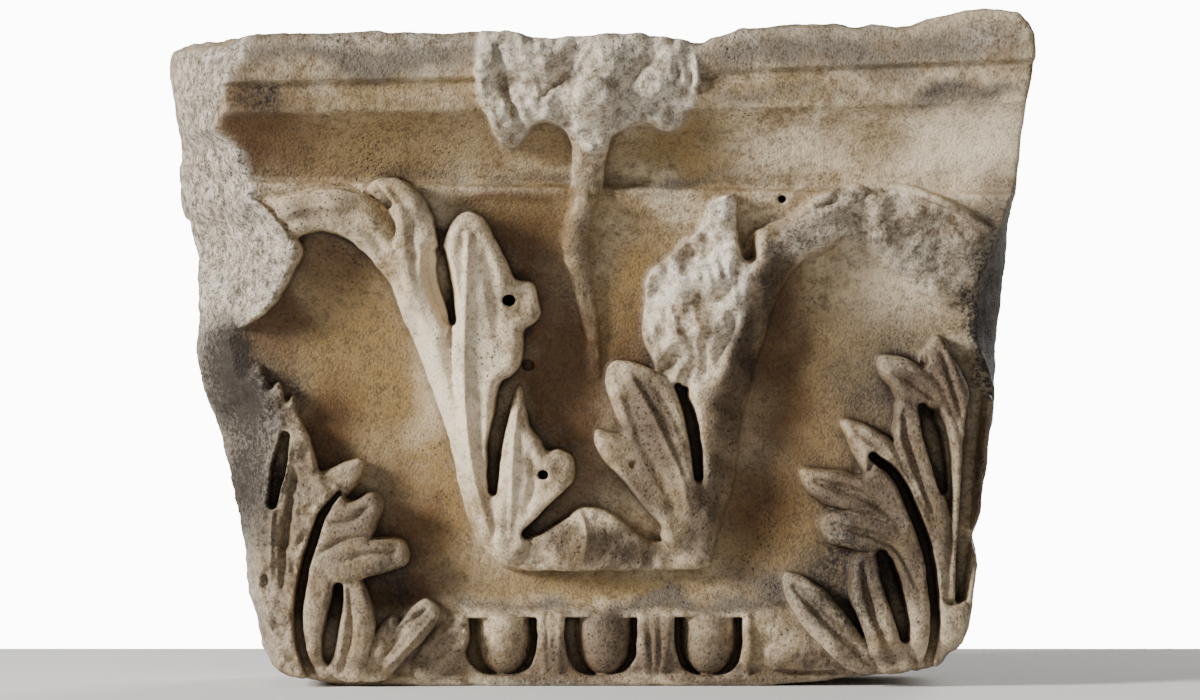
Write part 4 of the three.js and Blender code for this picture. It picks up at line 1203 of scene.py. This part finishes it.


# Stains, soot, painted shade and painted light, as soft patches [x, z, reach across, reach up, strength]

patchesOfStainAndLight = {
    "ochre": [[-150, 195, 62, 80, 0.9], [-105, 115, 40, 60, 0.85], [130, 170, 60, 90, 0.75],
        [-140, 325, 110, 28, 0.65], [-30, 322, 60, 24, 0.7], [-20, 62, 110, 13, 0.75],
        [-40, 285, 60, 22, 0.8], [36, 324, 52, 22, 0.8], [150, 332, 34, 12, 0.45], [110, 352, 30, 8, 0.5],
        [100, 100, 60, 50, 0.85], [15, 235, 26, 60, 0.8], [130, 352, 90, 8, 0.4],
        [-120, 352, 110, 8, 0.5]],
    # Some umber patches stand for shade as well as stain: at the left end of the abacus, along the left
    # edge of the left panel, along the lip line and on the deep ground beside the left leaf
    "umber": [[-208, 225, 34, 42, 0.85], [-170, 264, 46, 16, 0.55], [-212, 345, 34, 24, 0.85],
        [-22, 175, 36, 85, 1.0], [-44, 268, 42, 26, 0.75], [-60, 299, 60, 6, 0.7],
        [105, 200, 22, 70, 0.9], [-122, 92, 26, 46, 0.75], [-132, 58, 40, 25, 0.95],
        [94, 110, 28, 44, 0.7], [-232, 196, 18, 22, 0.95], [-168, 150, 26, 30, 0.8],
        [-40, 228, 30, 60, 0.75], [-212, 326, 36, 26, 0.8], [14, 190, 20, 46, 0.6],
        [130, 150, 24, 40, 0.35]],
    # The thin crust patches along the lip at z 303 and the patch on the right side at x 240 darken a crease
    # and a side turned from the light: crust and painted shade together
    "crust": [[-140, 379, 130, 15, 0.95], [140, 385, 130, 18, 0.85], [190, 262, 50, 18, 0.5],
        [240, 250, 16, 60, 0.8], [165, 190, 34, 60, 0.5], [10, 47, 160, 7, 0.85],
        [-215, 130, 22, 70, 0.75], [120, 60, 50, 24, 0.7], [-60, 303, 100, 4, 0.5], [50, 303, 60, 4, 0.6],
        [205, 356, 40, 8, 0.9], [90, 356, 60, 6, 0.5]],
    # The film patches on the right-hand slope of the right stalk, at x 82 and 102, darken a side turned
    # from the light: dirt and painted shade together
    "film": [[24, 150, 30, 52, 1.1], [0, 10, 240, 16, 0.85], [228, 122, 20, 60, 1.1],
        [-13, 245, 12, 50, 1.2], [150, 118, 40, 22, 1.2], [-10, 362, 66, 44, 0.2],
        [-142, 100, 34, 40, 0.75], [170, 90, 60, 60, 0.8], [196, 180, 34, 34, 0.85],
        [-215, 130, 26, 70, 0.7], [-225, 250, 40, 50, 0.6], [-240, 330, 30, 60, 0.35],
        [82, 170, 18, 64, 1.5], [102, 238, 14, 36, 1.3], [66, 110, 20, 40, 0.9], [0, 22, 112, 22, 0.75],
        [-225, 140, 12, 60, 0.9], [150, 118, 30, 16, 0.8], [0, 84, 50, 18, 0.95], [170, 60, 70, 60, 0.4],
        [185, 150, 45, 60, 0.65], [-165, 55, 60, 60, 0.5], [-195, 120, 30, 60, 0.55],
        [-175, 285, 34, 10, 0.4], [-112, 285, 14, 26, 0.45], [108, 268, 26, 14, 0.6],
        [-12, 280, 12, 60, 0.35], [120, 18, 30, 14, 0.3], [-100, 20, 26, 18, 0.7]],
    # Soot patches, which also paint shadow on the deep ground beside the left leaf at x -128 and the right
    # leaf at x 140 to 152, below the break at the abacus's left end and on the right side turned from the
    # light
    "sootAndShadow": [[-128, 60, 20, 26, 0.9], [152, 78, 34, 34, 0.8], [140, 50, 26, 24, 0.85],
        [164, 184, 26, 30, 0.35], [236, 225, 22, 80, 1.15], [118, 60, 26, 12, 0.6],
        [-226, 178, 30, 40, 1.6], [-192, 182, 16, 24, 0.8], [-205, 350, 18, 9, 1.0],
        [87, 200, 11, 30, 0.8], [102, 240, 10, 26, 0.6], [-222, 130, 20, 66, 1.1],
        [-204, 165, 22, 20, 0.7], [-208, 60, 14, 50, 0.5], [228, 250, 20, 24, 0.6],
        [205, 357, 30, 6, 0.5]],
    # Pale patches: clean stone, and painted light on faces turned to the lamp, such as the left side of the
    # left stalk and the right end of the abacus
    "paleAndLit": [[215, 322, 50, 34, 0.95], [120, 322, 60, 20, 0.35], [-98, 200, 22, 110, 1.3],
        [-74, 225, 22, 56, 0.65], [-54, 130, 18, 44, 0.75], [-104, 140, 12, 70, 0.5],
        [-118, 225, 14, 40, 0.5], [170, 240, 40, 30, 0.45], [-100, 375, 40, 14, 0.35]],
}
raisedShare = {"ochre": 0.2, "umber": 0.12, "crust": 0.8, "sootAndShadow": 0.8}  # on leaves and stalks
groundShare = {"film": 0.15}  # on the ground between them; 1 where nothing is given
hiddenShare = {"crust": [0.4, 0.6], "film": [0.15, -0.5], "paleAndLit": [0.4, -0.4]}  # plain, and in patches
patchWarp = {"reach": 9, "size": 34}


def patchMap(patches, seed):
    total = np.zeros(gridX.shape, np.float32)
    reach, size = patchWarp["reach"], patchWarp["size"]
    warpX = gridX + reach * roughNoise(gridX, gridZ, size, 4, seed)
    warpZ = gridZ + reach * roughNoise(gridX, gridZ, size, 4, seed + 9)
    for x, z, acrossReach, upReach, strength in patches:
        away = np.hypot((warpX - x) / acrossReach, (warpZ - z) / upReach)
        total = np.maximum(total, strength * easeStep(1.35, 0.25, away))
    return total


def frontShare(x, z, depth):
    # 1 on the carved front and on the broken corners, 0 on the other sides and the top bed
    seen = easeStep(-14, -3, depth - sampleMap(heightMap, x, z)) * easeStep(376, 366, z)
    share = np.maximum(easeStep(-30, -8, depth), seen)
    onTop = easeStep(380, 387, z) * easeStep(44, 34, depth + 3 * roughNoise(x, z, 12, 3, 304))
    return share * (1 - onTop)


mostTriangles = 192000


def finishStone():
    mesh = meshFrom("capital_block_stone", points, quads)
    place = meshPoints(mesh)
    x, y, z = place.T
    depth = plainFace - y
    onBack = easeStep(wallFace - 1.5, wallFace - 6, y)
    onFoot = easeStep(0.8, 5, z)
    frontness = frontShare(x, z, depth)
    leftSide = easeStep(6, 1, sampleMap(edgeDistance, x, z)) * (x < 0)
    broken = np.maximum(sampleMap(np.maximum(fractureMap, freshMap), x, z) * frontness, leftSide * 0.9)
    broken = np.maximum(broken, easeStep(378, 388, z) * (1 - frontness) * 0.6)
    giveAttribute(mesh, "broken", broken)
    giveAttribute(mesh, "carved", onBack * onFoot)
    stone = bpy.data.objects.new("capital_stone", mesh)
    bpy.context.scene.collection.objects.link(stone)
    tree = weatheringTree(marble)
    modifier = stone.modifiers.new("weathering", "NODES")
    modifier.node_group = tree
    for item in tree.interface.items_tree:
        if item.in_out == "INPUT" and item.name in weathering:
            modifier[item.identifier] = weathering[item.name]
    thin = stone.modifiers.new("thinning", "DECIMATE")
    thin.ratio = min(1.0, mostTriangles / (2 * len(quads)))
    bpy.context.view_layer.update()
    evaluated = stone.evaluated_get(bpy.context.evaluated_depsgraph_get())
    finished = bpy.data.meshes.new_from_object(evaluated)
    stone.modifiers.clear()
    stone.data = finished
    for name in ("broken", "carved"):
        finished.attributes.remove(finished.attributes[name])
    paintStone(finished)
    finished.shade_smooth()
    print("stone finished with", len(finished.polygons), "faces")
    return stone


def paintStone(mesh):
    x, y, z = meshPoints(mesh).T
    depth = plainFace - y
    inward = sampleMap(edgeDistance, x, z)
    frontness = frontShare(x, z, depth)
    hidden = 1 - frontness * easeStep(0, 3, inward)
    nearDrop = sampleMap(nearHeights, x, z) - depth
    wideDrop = sampleMap(wideHeights, x, z) - depth
    # Painted shade: darker where the surface lies below the blurred heights around it, in channels, hollows
    # and beside raised parts
    recessShade = np.clip(easeStep(1.5, 12, nearDrop) * 0.9 + easeStep(10, 28, wideDrop) * 0.35, 0, 1)
    giveAttribute(mesh, "recessShade", recessShade * frontness * easeStep(1.5, 8, inward))
    # Crests standing above their surroundings, for paler worn edges and a painted highlight
    giveAttribute(mesh, "edge", easeStep(0.3, 4, -nearDrop) * frontness * easeStep(0, 4, inward))
    across, up = x + 0.7 * y, z + 0.9 * y
    patch = roughNoise(across, up, 70, 4, 301)
    chips = np.clip(0.3 + 0.9 * roughNoise(across, up, 45, 3, 303), 0, 1)
    roughBed = np.maximum(easeStep(6, 1, inward) * (x < 0), easeStep(376, 388, z)) * easeStep(48, 44, y)
    broken = np.maximum(sampleMap(fractureMap, x, z) * frontness, roughBed * chips * 0.6)
    giveAttribute(mesh, "broken", broken)
    giveAttribute(mesh, "fresh", sampleMap(freshMap, x, z) * frontness)
    raised = np.maximum(easeStep(4, 14, depth - sampleMap(ground, x, z)), easeStep(50, 44, z))
    plain = {name: base + share * patch for name, (base, share) in hiddenShare.items()}
    plain["ochre"] = 0.15 + 0.5 * roughNoise(across, up, 40, 3, 302)
    for seed, (name, patches) in enumerate(patchesOfStainAndLight.items()):
        amount = sampleMap(patchMap(patches, 200 + 20 * seed), x, z) * frontness
        onGround, onRaised = groundShare.get(name, 1), raisedShare.get(name, 1)
        amount = amount * (onGround + (onRaised - onGround) * raised)
        onSide = easeStep(-28, -55, depth) * (name != "paleAndLit")
        amount = amount * (1 - onSide * np.clip(0.65 - 0.7 * patch, 0.2, 0.95))
        if name in plain:
            amount = np.maximum(amount, np.clip(plain[name], 0, 0.8) * hidden)
        giveAttribute(mesh, name, amount)


stone = finishStone()
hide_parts("capital_block")
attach(stone, "root")


# Floor, lights and camera

studio = {
    "distance": 3.0,  # camera to the middle of the relief
    "target": Vector((-4.2, -75, 202.8)) * mm,
    "lens": 150,
    "sensor": 36,
    "paper": (0.93, 0.93, 0.92, 1),
    "sheet": [[-1.1, -0.8], [1.1, -0.8], [1.1, 0.32], [-1.1, 0.32]],
    "air": (1.0, 1.0, 0.99, 1),
    "airSeen": 12.0,
    "airLight": 0.12,
    "lights": {  # place, power, size, colour
        "windowLight": [(-2.95, -1.5, 1.25), 235, 0.8, (1.0, 0.98, 0.95)],
        "frontFill": [(0.6, -3.4, 1.3), 15, 2.2, (1.0, 0.98, 0.95)],
        "rearFill": [(1.6, 2.8, 1.4), 75, 1.6, (1.0, 0.98, 0.96)],
    },
}


def paperMaterial():
    material = bpy.data.materials.new("palePaper")
    material.use_nodes = True
    shader = material.node_tree.nodes["Principled BSDF"]
    shader.inputs["Base Color"].default_value = studio["paper"]
    shader.inputs["Roughness"].default_value = 0.9
    return material


def addFloor():
    corners = [(x, y, 0) for x, y in studio["sheet"]]
    mesh = bpy.data.meshes.new("studioFloor")
    mesh.from_pydata(corners, [], [(0, 1, 2, 3)])
    mesh.materials.append(paperMaterial())
    sheet = bpy.data.objects.new("studioFloor", mesh)
    bpy.context.scene.collection.objects.link(sheet)


def addAir():
    # The camera sees a pale backdrop, while the stone gets only a little light from it
    world = bpy.data.worlds.new("studioAir")
    world.use_nodes = True
    wiring = Wiring(world.node_tree)
    seen = wiring.add("ShaderNodeLightPath")
    background = world.node_tree.nodes["Background"]
    background.inputs["Color"].default_value = studio["air"]
    level = seen * (studio["airSeen"] - studio["airLight"]) + studio["airLight"]
    world.node_tree.links.new(level.socket, background.inputs["Strength"])
    bpy.context.scene.world = world


def addLight(name, place, power, size, colour):
    lamp = bpy.data.lights.new(name, "AREA")
    lamp.energy = power
    lamp.size = size
    lamp.color = colour
    holder = bpy.data.objects.new(name, lamp)
    holder.location = place
    holder.rotation_euler = (studio["target"] - Vector(place)).to_track_quat("-Z", "Y").to_euler()
    bpy.context.scene.collection.objects.link(holder)


def addCamera():
    lens = bpy.data.cameras.new("photoCamera")
    lens.lens = studio["lens"]
    lens.sensor_width = studio["sensor"]
    holder = bpy.data.objects.new("photoCamera", lens)
    holder.location = studio["target"] - Vector((0, studio["distance"], 0))
    holder.rotation_euler = (math.pi / 2, 0, 0)
    bpy.context.scene.collection.objects.link(holder)
    bpy.context.scene.camera = holder


addFloor()
addAir()
for name, (place, power, size, colour) in studio["lights"].items():
    addLight(name, place, power, size, colour)
addCamera()
print("studio ready")
